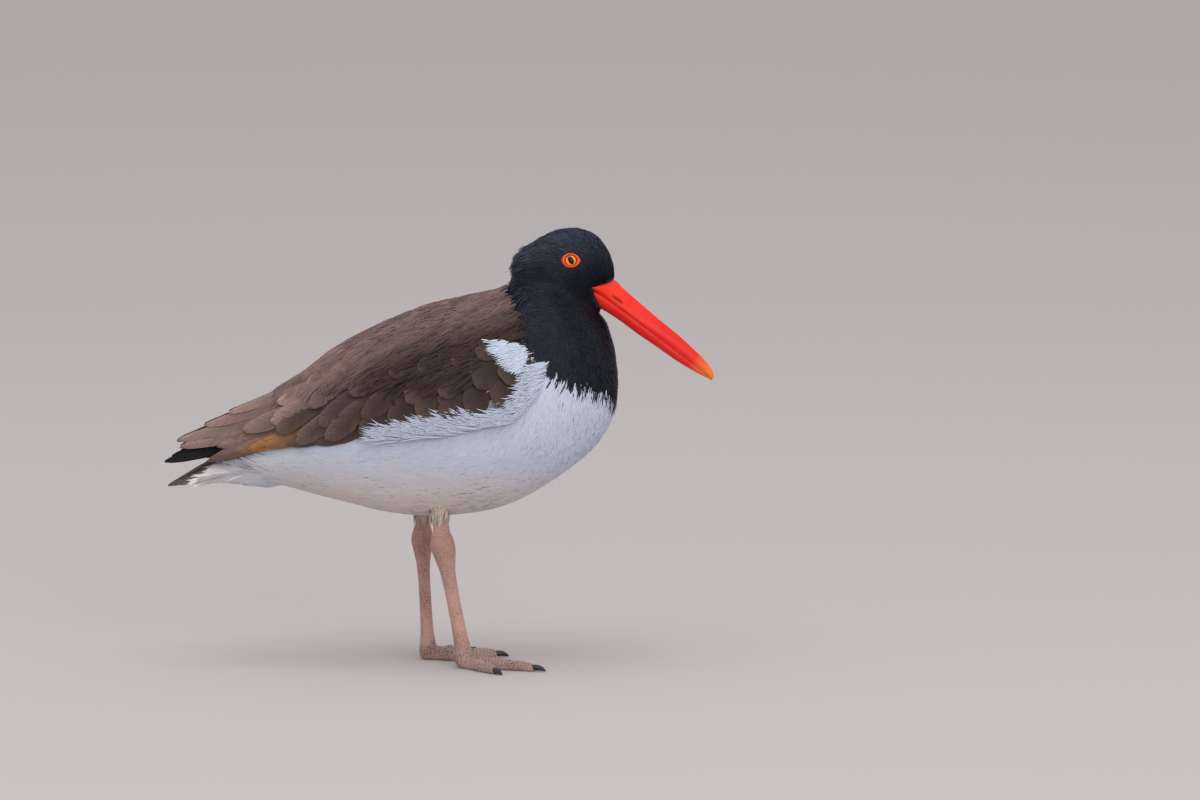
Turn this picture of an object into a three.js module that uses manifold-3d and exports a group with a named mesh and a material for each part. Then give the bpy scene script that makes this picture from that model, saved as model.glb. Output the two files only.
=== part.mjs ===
// Oystercatcher standing at ease on both feet, life size, with its wings folded and its bill held low.
// Millimetres. +X runs towards the bill, +Y to the bird's left and +Z up. The origin is on the ground
// under the middle of the whole bird, from the tips of the wings to the tip of the bill.

import * as THREE from 'three';
import { mergeVertices } from 'three/addons/utils/BufferGeometryUtils.js';
import Module from 'manifold-3d';

const wasm = await Module();
wasm.setup();

// Clear gap kept between two parts that touch
const GAP = 0.35;
const DEGREE = Math.PI / 180;

// A form is a row of stations along its length. Each station gives the point on the upper line (x, z),
// the point on the lower line (x, z), the half width, and how far the fullness sits towards the lower
// line (1 is even).
const BODY = [
  [-131, 126.5, -132, 116.5, 7, 1],
  [-108, 142, -110, 111, 17, 1],
  [-82, 164, -86, 105, 28, 1],
  [-54, 186, -57, 97.5, 40, 1],
  [-26, 201.5, -25, 90.7, 46.5, 1],
  [2, 211.5, 8, 90, 50, 1.1],
  [22, 218, 42, 97, 51, 1.2],
  [34, 223, 72, 113.5, 49, 1.25],
  [39, 228, 96, 135, 43, 1.2],
  [41, 231.5, 107.5, 159, 36, 1.15],
  [42.5, 236, 107.5, 185, 29, 1.1],
  [45, 241, 102.5, 205, 23, 1],
  [52, 247, 97.5, 213, 17, 1],
];

// Outer surface of the back and the folded wings, on which the feathers lie
const FOLDED = [
  [-177, 126, -175, 120.5, 3, 1],
  [-163, 133.5, -161, 124, 4, 1],
  [-150, 140.5, -148, 117, 10, 1],
  [-135, 147.5, -134, 112, 15, 1],
  [-120, 154.8, -119, 108, 20, 1],
  [-102, 163.8, -101, 104, 26, 1],
  [-82, 176, -81, 99, 34, 1],
  [-60, 192, -58, 94, 43, 1],
  [-34, 205.5, -32, 89, 50, 1],
  [-6, 216.5, -3, 87, 54.5, 1.05],
  [18, 222.3, 30, 90, 56, 1.1],
  [33, 226, 66, 107, 53, 1.2],
  [40, 229.5, 94, 131, 46, 1.2],
  [43, 233.5, 110, 160, 38, 1.2],
];

const HEAD = [
  [43.8, 243, 48, 224.9, 9, 1],
  [49.2, 250.9, 55.2, 216.4, 15, 1],
  [60, 258.1, 66, 210.4, 17.5, 1],
  [72, 263, 78, 208.5, 17.5, 1],
  [84, 263.6, 88.2, 210.4, 16, 1],
  [94.8, 258.7, 94.8, 212.8, 13, 1],
  [102, 249.1, 97.8, 214, 9.8, 1],
  [105, 239.4, 98.4, 214.6, 7.5, 1],
  [105, 231.5, 97.8, 215.8, 5.5, 1],
];

// The neck meets the torso in a plane through these two points of the side view (x, z)
const COLLAR = { back: [36, 225], breast: [108, 158] };

// Eyeball, the ring of bare skin round it (length, height and thickness) and its place on the head
const EYE = { x: 78.6, z: 245.6, radius: 6, proud: 1.3 };
const LID = { halfLength: 4.9, halfHeight: 4, thickness: 0.8 };

// The bill runs from its base down to its tip. Stations are distance along it, its upper edge, its
// lower edge (both from the bill's axis), half width and fullness. The mouth line is MOUTH below the axis.
const BILL = { base: [98.4, 223.7], tip: [163.8, 173.5] };
const MOUTH = -1.2;
const UPPER_MANDIBLE = [
  [-9, 2.5, 13.2, 1.2],
  [-5, 8.5, 11.6, 2.6],
  [0, 10.6, 8.4, 2.8],
  [8, 9.6, 6.6, 2.4],
  [20, 8.8, 5.2, 2],
  [34, 8, 4.4, 1.7],
  [50, 7.5, 3.7, 1.5],
  [64, 6.2, 3.1, 1.4],
  [74, 4.8, 2.5, 1.3],
  [80, 2.8, 1.9, 1.2],
  [83, 0.4, 1.1, 1],
];
const LOWER_MANDIBLE = [
  [-6, -5.5, 10.4, 0.9],
  [0, -8.3, 8, 0.6],
  [8, -7.7, 6.3, 0.55],
  [18, -7, 5, 0.55],
  [30, -6.9, 4.3, 0.6],
  [44, -6.2, 3.8, 0.65],
  [58, -5.6, 3.2, 0.7],
  [69, -4.5, 2.6, 0.8],
  [78, -3, 1.8, 0.9],
  [81.5, -2, 1.1, 1],
];
const NOSTRIL = { from: 4, to: 12.5, height: 2.6, depth: 0.9, slit: 0.55 };

// Each leg: foot joint and ankle in the side view (x, z), distance out from the middle, top of the
// tibia, fore-and-aft swelling of the ankle, and the heading and length of the three toes
const LEGS = {
  right: {
    y: -18, foot: [14.4, 8], ankle: [1.8, 73], hip: [-1, 108], swelling: 15,
    toes: { inner: [11, 25], middle: [-20, 45], outer: [-55, 33] },
  },
  left: {
    y: 18, foot: [-7.8, 8], ankle: [-11.4, 73], hip: [-9, 108], swelling: 13,
    toes: { inner: [-25, 26], middle: [8, 42], outer: [40, 33] },
  },
};
// Height, fore-and-aft thickness as a share of the ankle's swelling, and half width
const TARSUS = [
  [0, 0.62, 4.4],
  [3, 0.84, 6.4],
  [8, 0.8, 6.2],
  [15, 0.64, 4.6],
  [27, 0.57, 3.6],
  [46, 0.56, 3.5],
  [58, 0.64, 4],
  [66, 0.84, 5.2],
  [72, 1, 6],
  [78, 0.9, 5.6],
  [83, 0.68, 4.6],
];
// Tibia above it, with the thickness as a share of TIBIA_THICKNESS
const TIBIA = [[83 + GAP, 1, 4.4], [92, 1, 4.4], [100, 1.3, 6], [108, 1.5, 7]];
const TIBIA_THICKNESS = 9.7;
const CLAW_LENGTH = 8;

// Closed tail: root and tip of its middle line (x, z), half width of the fan at root and tip, half width
// and number of the feathers, drop from the middle to the outer ones, how much shorter the outer ones
// are, and the share of the length that the solid base fills
const TAIL = {
  root: [-104, 124.5], tip: [-163, 108.5], rootHalf: 8, tipHalf: 16, half: 6, feathers: 12, roof: 6.6,
  rounding: 0.08, baseShare: 0.58,
};
const TAIL_VANE = [[0, 0.6], [0.8, 1], [0.95, 0.8], [1, 0.35]];

// Lower edge of the folded wing in the side view (x, z), from its bend back to its tip
const WING_EDGE = [
  [44, 182], [41, 169.5], [30, 160], [-6, 156], [-22, 152], [-62, 141], [-84, 137], [-107, 134.5],
  [-126, 129], [-141, 123.5], [-160, 125.5],
];
// Arm of the wing: how far back it reaches (a station of FOLDED), how deep it sits on the torso, how far
// it keeps inside the lower edge, and its height over the folded surface
const ARM = { rearStation: 4.4, depth: 9, drawnIn: 4, lift: -1.6 };
// A vane's height falls by TILT from its front edge to its middle and on to its rear edge, and its edges
// lie CAMBER below its middle
const TILT = 0.5;
const CAMBER = 0.2;
const SEEDS = { '-1': 11, 1: 41 };
// Side of a block larger than the bird
const FAR = 800;
// Where the brown mantle lies between the wings: stations of FOLDED with its half width in degrees
const MANTLE = [[7.2, 1.5], [8, 8], [9, 17], [10, 25], [11, 31], [11.6, 33]];

// Outline of a vane: share of its length, and there its share of the half width
const ROUND_VANE = [[0, 0.5], [0.45, 0.95], [0.8, 0.95], [0.96, 0.5], [1, 0.14]];
const LONG_VANE = [[0, 0.5], [0.33, 0.9], [0.66, 1], [0.92, 0.6], [1, 0.1]];
const VANE_THICKNESS = 0.6;

// Feathers of a folded wing, tier by tier from the innermost out. Roots and tips stand along lines of
// the side view (x, z); lift is the height of root and tip over the folded surface, and rise is what the
// last feather of the tier adds to it.
const TIERS = [
  {
    count: 2, half: 5, lift: [-4.6, -3.6], rise: 0.6, outline: LONG_VANE,
    roots: [[-92, 141], [-86, 149]], tips: [[-165, 122.6], [-161.5, 127]],
  },
  {
    count: 4, half: 5.5, lift: [-3.6, -3], rise: 2.7, outline: LONG_VANE,
    roots: [[-28, 155], [-52, 164]], tips: [[-76, 137.5], [-107, 133.8], [-126, 129], [-141, 122.5]],
  },
  {
    count: 6, half: 8.5, lift: [-2.6, 0.4], rise: 0.4, outline: ROUND_VANE,
    roots: [[35, 182], [6, 179], [-39, 167]], tips: [[36, 163.5], [-6, 155.5], [-62.5, 139.5]],
  },
  {
    count: 5, half: 10.5, lift: [-2.6, 0.9], rise: 0.4, outline: ROUND_VANE,
    roots: [[34, 196], [0, 195], [-52, 179]], tips: [[33, 179], [-6, 171], [-76, 154]],
  },
  {
    count: 4, half: 12, lift: [-2.6, 1.1], rise: 0.4, outline: ROUND_VANE,
    roots: [[27, 211], [-6, 208], [-54, 192]], tips: [[15, 193], [-24, 181], [-84, 162.5]],
  },
  {
    count: 4, half: 11, lift: [-2.6, 1.4], rise: 0.4, outline: ROUND_VANE,
    roots: [[20, 219], [0, 214], [-46, 201]], tips: [[4, 206], [-34, 196], [-86, 173]],
  },
];
// Long inner feathers over the folded wing: root, tip, half width, lift of root and tip
const TERTIALS = [
  [[-46, 164], [-156.5, 131], 5, [-3.2, -0.5]],
  [[-52, 174], [-158, 136.5], 5, [-2.6, 0.3]],
  [[-58, 173], [-110.5, 147.5], 8, [-2.2, 1]],
  [[-66, 184], [-131, 146.5], 7, [-2.2, 1.8]],
];

const PAINT = {
  black: [0x17191f, 0.75], belly: [0xe9eaec, 0.9], wing: [0x4d3b30, 0.85], tail: [0x35291f, 0.85],
  bill: [0xe6321c, 0.4], iris: [0xd9601c, 0.12], leg: [0xc79c8a, 0.6], claw: [0x1b1817, 0.45],
};

// One column of a row of stations at the distance s along it, on a smooth curve through the stations
function smooth(rows, column, s) {
  const last = rows.length - 1;
  const i = Math.min(Math.max(Math.floor(s), 0), last - 1);
  const f = s - i;
  const at = (k) => rows[k][column];
  const before = i > 0 ? at(i - 1) : 2 * at(0) - at(1);
  const after = i + 2 <= last ? at(i + 2) : 2 * at(last) - at(last - 1);
  const p = at(i);
  const q = at(i + 1);
  const bend = (2 * before - 5 * p + 4 * q - after) * f * f;
  const twist = (3 * p - before - 3 * q + after) * f * f * f;
  return 0.5 * (2 * p + (q - before) * f + bend + twist);
}

function section(rows, s) {
  return rows[0].map((_, column) => smooth(rows, column, s));
}

// Point of a form at station s and the angle round it, which starts at the upper line
function bare(rows, s, angle) {
  const [ux, uz, lx, lz, width, full] = section(rows, s);
  const t = ((1 - Math.cos(angle)) / 2) ** (1 / full);
  return new THREE.Vector3(ux + (lx - ux) * t, width * Math.sin(angle), uz + (lz - uz) * t);
}

function normal(rows, s, angle) {
  const e = 0.01;
  const along = bare(rows, s + e, angle).sub(bare(rows, s - e, angle));
  const round = bare(rows, s, angle + e).sub(bare(rows, s, angle - e));
  const [ux, uz, lx, lz] = section(rows, s);
  const outward = bare(rows, s, angle).sub(new THREE.Vector3((ux + lx) / 2, 0, (uz + lz) / 2));
  const n = along.cross(round).normalize();
  return n.dot(outward) < 0 ? n.negate() : n;
}

function surface(rows, s, angle, lift = 0) {
  const p = bare(rows, s, angle);
  return lift ? p.addScaledVector(normal(rows, s, angle), lift) : p;
}

// Station and angle of the form's surface nearest to a point, seen from the middle of its section
function locate(rows, p) {
  let low = 0;
  let high = rows.length - 1;
  for (let i = 0; i < 30; i += 1) {
    const s = (low + high) / 2;
    const [ux, uz, lx, lz] = section(rows, s);
    if ((lx - ux) * (p.z - uz) - (lz - uz) * (p.x - ux) < 0) high = s;
    else low = s;
  }
  const s = (low + high) / 2;
  const [ux, uz, lx, lz, width, full] = section(rows, s);
  const reach = (lx - ux) ** 2 + (lz - uz) ** 2;
  const t = ((p.x - ux) * (lx - ux) + (p.z - uz) * (lz - uz)) / reach;
  const level = 1 - 2 * Math.min(Math.max(t, 0), 1) ** full;
  const angle = p.y === undefined ? Math.acos(level) : Math.atan2(p.y / width, level);
  return { s, angle, width };
}

function solid(positions, triangles) {
  let volume = 0;
  const corner = (k) => new THREE.Vector3().fromArray(positions, 3 * k);
  for (let i = 0; i < triangles.length; i += 3) {
    const [a, b, c] = [0, 1, 2].map((k) => corner(triangles[i + k]));
    volume += a.dot(b.cross(c));
  }
  const turned = volume < 0 ? triangles.slice().reverse() : triangles;
  const vertProperties = new Float32Array(positions);
  const triVerts = new Uint32Array(turned);
  return new wasm.Manifold(new wasm.Mesh({ numProp: 3, vertProperties, triVerts }));
}

function solidOf(geometry) {
  geometry.deleteAttribute('normal');
  geometry.deleteAttribute('uv');
  const merged = mergeVertices(geometry, 1e-4);
  return solid([...merged.attributes.position.array], [...merged.index.array]);
}

// Closed form through a row of stations; place moves each point, such as onto a toe's own line
function loft(rows, { rings, sides, from = 0, to = rows.length - 1, lift = 0, place = (p) => p }) {
  const positions = [];
  const triangles = [];
  for (let i = 0; i <= rings; i += 1) {
    for (let j = 0; j < sides; j += 1) {
      const s = from + ((to - from) * i) / rings;
      positions.push(...place(surface(rows, s, (2 * Math.PI * j) / sides, lift)).toArray());
    }
  }
  for (let i = 0; i < rings; i += 1) {
    for (let j = 0; j < sides; j += 1) {
      const a = i * sides + j;
      const b = i * sides + ((j + 1) % sides);
      triangles.push(a, a + sides, b, b, a + sides, b + sides);
    }
  }
  for (const [ring, s] of [[0, from], [rings, to]]) {
    const [ux, uz, lx, lz] = section(rows, s);
    const centre = positions.length / 3;
    positions.push(...place(new THREE.Vector3((ux + lx) / 2, 0, (uz + lz) / 2)).toArray());
    for (let j = 0; j < sides; j += 1) {
      const a = ring * sides + j;
      const b = ring * sides + ((j + 1) % sides);
      triangles.push(...(ring ? [centre, b, a] : [centre, a, b]));
    }
  }
  return solid(positions, triangles);
}

// Closed plate over a grid of points, split into triangles alike on both faces
function plate(rows, columns, pointAt) {
  const positions = [];
  const triangles = [];
  const wide = columns + 1;
  const under = (rows + 1) * wide;
  for (const face of [1, 0]) {
    for (let i = 0; i <= rows; i += 1) {
      for (let j = 0; j <= columns; j += 1) positions.push(...pointAt(i, j, face).toArray());
    }
  }
  for (let i = 0; i < rows; i += 1) {
    for (let j = 0; j < columns; j += 1) {
      const a = i * wide + j;
      const [b, c, d] = [a + 1, a + wide, a + wide + 1];
      triangles.push(a, b, c, b, d, c);
      triangles.push(under + a, under + c, under + b, under + b, under + c, under + d);
    }
  }
  const rim = [];
  for (let j = 0; j < columns; j += 1) rim.push(j);
  for (let i = 0; i < rows; i += 1) rim.push(i * wide + columns);
  for (let j = columns; j > 0; j -= 1) rim.push(rows * wide + j);
  for (let i = rows; i > 0; i -= 1) rim.push(i * wide);
  rim.forEach((a, k) => {
    const b = rim[(k + 1) % rim.length];
    triangles.push(b, a, under + a, b, under + a, under + b);
  });
  return solid(positions, triangles);
}

function joined(parts) {
  return parts.reduce((whole, part) => whole.add(part));
}

// Named mesh of the largest closed body of a solid
function named(name, form, [color, roughness]) {
  const bodies = form.decompose().sort((a, b) => b.volume() - a.volume());
  const mesh = bodies[0].getMesh();
  const geometry = new THREE.BufferGeometry();
  geometry.setAttribute('position', new THREE.BufferAttribute(mesh.vertProperties, 3));
  geometry.setIndex(new THREE.BufferAttribute(mesh.triVerts, 1));
  const material = new THREE.MeshStandardMaterial({ color, roughness, metalness: 0 });
  const result = new THREE.Mesh(geometry, material);
  result.name = name;
  return result;
}

// Block that fills one side of the collar's plane: +1 is ahead of it, -1 behind
function besideCollar(side) {
  const [bx, bz] = COLLAR.back;
  const [fx, fz] = COLLAR.breast;
  const slope = Math.atan2(fz - bz, fx - bx);
  const block = new THREE.BoxGeometry(FAR, FAR, FAR).translate(0, 0, (side * (FAR + GAP)) / 2);
  return solidOf(block.rotateY(-slope).translate(bx, 0, bz));
}

function mantleEdge(s) {
  const angles = MANTLE.map((row) => row[1]);
  const k = MANTLE.findIndex((row) => row[0] > s);
  if (k === 0) return angles[0] * DEGREE;
  if (k < 0) return angles[angles.length - 1] * DEGREE;
  const f = (s - MANTLE[k - 1][0]) / (MANTLE[k][0] - MANTLE[k - 1][0]);
  return (angles[k - 1] + (angles[k] - angles[k - 1]) * f) * DEGREE;
}

// Back between the wings, sunk into the torso
function mantle(lift) {
  const [first, last] = [MANTLE[0][0], MANTLE[MANTLE.length - 1][0]];
  const [steps, across] = [9, 8];
  return plate(steps, across, (i, j, face) => {
    const s = first + ((last - first) * i) / steps + (i ? lift : -lift) / 20;
    const angle = (mantleEdge(s) + lift / section(FOLDED, s)[4]) * ((2 * j) / across - 1);
    const front = Math.max(0, (i - steps + 2) / 2);
    return surface(FOLDED, s, angle, face ? lift - 0.6 - 1.2 * front : -9);
  });
}

const bodyRings = { rings: 26, sides: 24 };
const wholeBody = loft(BODY, bodyRings);
const grownBody = loft(BODY, { ...bodyRings, lift: GAP });
const headRings = { rings: 16, sides: 22 };
const headForm = loft(HEAD, headRings);
const grownHead = loft(HEAD, { ...headRings, lift: GAP });

// Bill stations in the side view; the mouth line is the lower edge of one half, the upper of the other
const billSlope = Math.atan2(BILL.tip[1] - BILL.base[1], BILL.tip[0] - BILL.base[0]);
function billPoint(u, v) {
  return [
    BILL.base[0] + u * Math.cos(billSlope) - v * Math.sin(billSlope),
    BILL.base[1] + u * Math.sin(billSlope) + v * Math.cos(billSlope),
  ];
}
// Rows of the upper or the lower half of the bill, with its root end moved back by longer
function upperRows(longer = 0) {
  return UPPER_MANDIBLE.map(([u, edge, width, full], k) => {
    const at = k ? u : u - longer;
    return [...billPoint(at, edge), ...billPoint(at, MOUTH + GAP / 2), width, full];
  });
}
function lowerRows(longer = 0) {
  return LOWER_MANDIBLE.map(([u, edge, width, full], k) => {
    const at = k ? u : u - longer;
    return [...billPoint(at, MOUTH - GAP / 2), ...billPoint(at, edge), width, full];
  });
}

function nostril(side) {
  const { from, to, height, depth, slit } = NOSTRIL;
  const [x, z] = billPoint((from + to) / 2, height);
  const at = locate(upperRows(), { x, z });
  const y = side * at.width * Math.sin(at.angle);
  const hole = new THREE.SphereGeometry(1, 10, 6).scale((to - from) / 2, depth, slit);
  return solidOf(hole.rotateY(-billSlope).translate(x, y, z));
}

const billRings = { rings: 15, sides: 12 };
const upperForm = loft(upperRows(), billRings);
const lowerForm = loft(lowerRows(), billRings);
const grownBill = joined([upperRows(2 * GAP), lowerRows(2 * GAP)].map((rows) => (
  loft(rows, { ...billRings, lift: 1.3 * GAP })
)));

// Eyeball, or the ring of skin round it, on the side of the head
function eyePlace(side) {
  const at = locate(HEAD, EYE);
  const out = normal(HEAD, at.s, side * at.angle);
  const rim = surface(HEAD, at.s, side * at.angle);
  const centre = rim.clone().addScaledVector(out, EYE.proud - EYE.radius);
  return { out, rim, centre };
}

function eyeball(side, radius) {
  const { centre } = eyePlace(side);
  return solidOf(new THREE.SphereGeometry(radius, 12, 8).rotateX(Math.PI / 2).translate(...centre));
}

function lid(side) {
  const { out, rim } = eyePlace(side);
  const ring = new THREE.TorusGeometry(1, LID.thickness / LID.halfHeight, 4, 14);
  ring.scale(LID.halfLength, LID.halfHeight, LID.halfHeight);
  const turn = new THREE.Quaternion().setFromUnitVectors(new THREE.Vector3(0, side, 0), out);
  ring.rotateX(Math.PI / 2).applyQuaternion(turn);
  return solidOf(ring.translate(...rim));
}

const sides = { right: -1, left: 1 };
const bird = new THREE.Group();

const eyeSockets = joined([eyeball(-1, EYE.radius + GAP), eyeball(1, EYE.radius + GAP)]);
const headWithLids = joined([headForm, lid(-1), lid(1)]);
bird.add(named('head', headWithLids.subtract(grownBill).subtract(eyeSockets), PAINT.black));
bird.add(named('bill_upper', upperForm.subtract(nostril(-1)).subtract(nostril(1)), PAINT.bill));
bird.add(named('bill_lower', lowerForm, PAINT.bill));
for (const [name, side] of Object.entries(sides)) {
  bird.add(named(`eye_${name}`, eyeball(side, EYE.radius), PAINT.iris));
}

const neckForm = wholeBody.intersect(besideCollar(1)).subtract(grownHead).subtract(grownBill);
bird.add(named('neck', neckForm, PAINT.black));
const torsoForm = wholeBody.add(mantle(0)).intersect(besideCollar(-1));
bird.add(named('torso', torsoForm, PAINT.belly));
const torsoSocket = grownBody.add(mantle(GAP));

// Angle of the wing's lower edge at a station of FOLDED
const edgePlaces = WING_EDGE.map(([x, z]) => locate(FOLDED, { x, z })).reverse();
function wingEdge(s) {
  const ahead = edgePlaces.findIndex((at, k) => k > 0 && at.s >= s);
  const k = ahead < 0 ? edgePlaces.length - 1 : ahead;
  const [a, b] = [edgePlaces[k - 1], edgePlaces[k]];
  const f = Math.min(Math.max((s - a.s) / (b.s - a.s), 0), 1);
  return a.angle + (b.angle - a.angle) * f;
}

// Arm of the folded wing with the roots of its feathers, from the mantle's edge down to its lower edge
function arm(side) {
  const [first, last] = [ARM.rearStation, edgePlaces[edgePlaces.length - 1].s];
  const [steps, across] = [10, 5];
  return plate(steps, across, (i, j, face) => {
    const s = first + ((last - first) * i) / steps;
    const round = section(FOLDED, s)[4];
    const top = mantleEdge(s) + (s > MANTLE[0][0] ? GAP / round : 0);
    const angle = top + ((wingEdge(s) - ARM.drawnIn / round - top) * j) / across;
    const depth = 1.4 + (ARM.depth - 1.4) * Math.min(1, i / 3);
    return surface(FOLDED, s, side * angle, face ? ARM.lift : ARM.lift - depth);
  });
}

function besideMiddle(side) {
  const block = new THREE.BoxGeometry(FAR, FAR, FAR);
  return solidOf(block.translate(0, side * (FAR / 2 + GAP / 2), 0));
}

// Even numbers from 0 to 1 in a fixed order
function draws(seed) {
  let state = seed;
  return () => {
    state = (state * 1664525 + 1013904223) % 4294967296;
    return state / 4294967296;
  };
}

// Point at a share of the way along a line of points
function along(line, share) {
  const k = Math.min(Math.floor(share * (line.length - 1)), line.length - 2);
  const f = share * (line.length - 1) - k;
  return line[k].map((value, c) => value + (line[k + 1][c] - value) * f);
}

// Place on the folded surface of a point of the side view, kept a little off the middle line
function onFolded([x, z], side, clear) {
  const at = locate(FOLDED, { x, z });
  const angle = Math.max(at.angle, Math.asin(Math.min(1, clear / Math.max(at.width, clear))));
  return surface(FOLDED, at.s, side * angle);
}

// One feather that lies on the folded surface, its rear edge tucked under the next one
function vane(side, root, tip, half, lift, outline) {
  const from = onFolded(root, side, half);
  const to = onFolded(tip, side, 0.6 * half);
  const axis = to.clone().sub(from).normalize();
  return plate(outline.length - 1, 2, (i, j, face) => {
    const [share, wide] = outline[i];
    const middle = from.clone().lerp(to, share);
    const under = locate(FOLDED, middle);
    const across = normal(FOLDED, under.s, under.angle).cross(axis).multiplyScalar(-side);
    const at = locate(FOLDED, middle.addScaledVector(across, (j - 1) * half * wide));
    const height = lift[0] + (lift[1] - lift[0]) * share + TILT * (1 - j) - (j === 1 ? 0 : CAMBER);
    return surface(FOLDED, at.s, at.angle, height - (face ? 0 : VANE_THICKNESS));
  });
}

function wingFeathers(side) {
  const draw = draws(SEEDS[side]);
  const vary = (spread) => 1 + spread * (2 * draw() - 1);
  const feathers = [];
  for (const { count, half, lift, rise, outline, roots, tips } of TIERS) {
    for (let k = 0; k < count; k += 1) {
      const root = along(roots, k / (count - 1));
      const end = along(tips, k / (count - 1));
      const tip = end.map((value, c) => value + (value - root[c]) * (vary(0.04) - 1));
      const lifts = lift.map((value) => value + (rise * k) / (count - 1));
      feathers.push(vane(side, root, tip, half * vary(0.06), lifts, outline));
    }
  }
  for (const [root, tip, half, lift] of TERTIALS) {
    feathers.push(vane(side, root, tip, half, lift, LONG_VANE));
  }
  return feathers;
}

for (const [name, side] of Object.entries(sides)) {
  const wing = joined([arm(side), ...wingFeathers(side)]).intersect(besideMiddle(side));
  bird.add(named(`wing_${name}`, wing.subtract(torsoSocket), PAINT.wing));
}

// Point of the closed tail at a share of its length and a place across it from -1 to 1, a little roofed
function tailPoint(u, v, lift) {
  const [rx, rz] = TAIL.root;
  const [tx, tz] = TAIL.tip;
  const y = v * (TAIL.rootHalf + (TAIL.tipHalf - TAIL.rootHalf) * u);
  return new THREE.Vector3(rx + (tx - rx) * u, y, rz + (tz - rz) * u - TAIL.roof * Math.abs(v) + lift);
}

function tailBase() {
  const [steps, across] = [3, 6];
  return plate(steps, across, (i, j, face) => (
    tailPoint((TAIL.baseShare * i) / steps, (1.9 * j) / across - 0.95, face ? 0.3 : -1.5)
  ));
}

// Tail feather, from -1 (outermost right) to 1 (outermost left); the middle ones lie on top
function tailFeather(v) {
  const length = 1 - TAIL.rounding * v * v;
  return plate(TAIL_VANE.length - 1, 2, (i, j, face) => {
    const [share, wide] = TAIL_VANE[i];
    const point = tailPoint(share * length, v, (j === 1 ? 0 : -CAMBER) - (face ? 0 : VANE_THICKNESS));
    return point.setY(point.y + (j - 1) * TAIL.half * wide);
  });
}
const tailFeathers = [];
for (let k = 0; k < TAIL.feathers; k += 1) {
  const v = (2 * k + 1) / TAIL.feathers - 1;
  tailFeathers.push(tailFeather(v + (k % 2 ? 0.015 : 0)));
}
bird.add(named('tail', joined([tailBase(), ...tailFeathers]).subtract(torsoSocket), PAINT.tail));

// Leg: the tarsus with its swollen ankle and flat sole, and the tibia up into the belly
function legRows(leg, stations) {
  return stations.map(([z, share, width]) => {
    const [low, high] = z < leg.ankle[1] ? [leg.foot, leg.ankle] : [leg.ankle, leg.hip];
    const x = low[0] + ((high[0] - low[0]) * (z - low[1])) / (high[1] - low[1]);
    const half = (leg.swelling * share) / 2;
    return [x + half, z, x - half, z, width, 1];
  });
}

// Toe rows: distance along it, height, half width; its sole is flat on the ground
function toeRows(length) {
  const profile = [
    [0, 8.2, 4], [0.2, 7.6, 3.7], [0.38, 6.5, 3.2], [0.52, 7, 3.5], [0.66, 5.9, 2.9], [0.8, 6.2, 3.1],
    [0.92, 5.2, 2.6], [1, 4.2, 2],
  ];
  return profile.map(([share, height, width]) => [share * length, height, share * length, -1.2, width, 1]);
}

function clawRows(length) {
  const start = length + GAP;
  return [
    [start, 4.2, start, 0.7, 1.9, 1],
    [start + CLAW_LENGTH * 0.45, 3.9, start + CLAW_LENGTH * 0.4, 0.6, 1.5, 1],
    [start + CLAW_LENGTH * 0.8, 2.6, start + CLAW_LENGTH * 0.75, 0.5, 1, 1],
    [start + CLAW_LENGTH, 1.1, start + CLAW_LENGTH, 0.4, 0.45, 1],
  ];
}

const legRings = { rings: 16, sides: 12 };
const toeRings = { rings: 8, sides: 8 };
for (const [name, leg] of Object.entries(LEGS)) {
  const across = (p) => p.add(new THREE.Vector3(0, leg.y, 0));
  const onGround = (p) => across(p.setZ(Math.max(p.z, 0)));
  const rows = legRows(leg, TARSUS);
  const tarsus = loft(rows, { ...legRings, place: onGround });
  const grownTarsus = loft(rows, { ...legRings, lift: GAP, place: across });
  bird.add(named(`leg_${name}_tarsus`, tarsus, PAINT.leg));

  const share = TIBIA_THICKNESS / leg.swelling;
  const tibiaRows = legRows(leg, TIBIA.map(([z, thick, width]) => [z, share * thick, width]));
  const tibia = loft(tibiaRows, { rings: 5, sides: 12, place: across });
  bird.add(named(`leg_${name}_tibia`, tibia.subtract(grownBody), PAINT.leg));

  const onToe = (heading, flat) => (p) => {
    p.applyAxisAngle(new THREE.Vector3(0, 0, 1), heading * DEGREE);
    p.add(new THREE.Vector3(leg.foot[0], 0, 0));
    return flat ? onGround(p) : across(p);
  };
  const [middleHeading, middleLength] = leg.toes.middle;
  const grownMiddle = loft(toeRows(middleLength), {
    ...toeRings, lift: GAP, place: onToe(middleHeading, false),
  });
  for (const [toe, [heading, length]] of Object.entries(leg.toes)) {
    let form = loft(toeRows(length), { ...toeRings, place: onToe(heading, true) });
    form = form.subtract(grownTarsus);
    if (toe !== 'middle') form = form.subtract(grownMiddle);
    bird.add(named(`toe_${name}_${toe}`, form, PAINT.leg));
    const claw = loft(clawRows(length), { rings: 3, sides: 6, place: onToe(heading, true) });
    bird.add(named(`claw_${name}_${toe}`, claw, PAINT.claw));
  }
}

export default bird;
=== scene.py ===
import math

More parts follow.
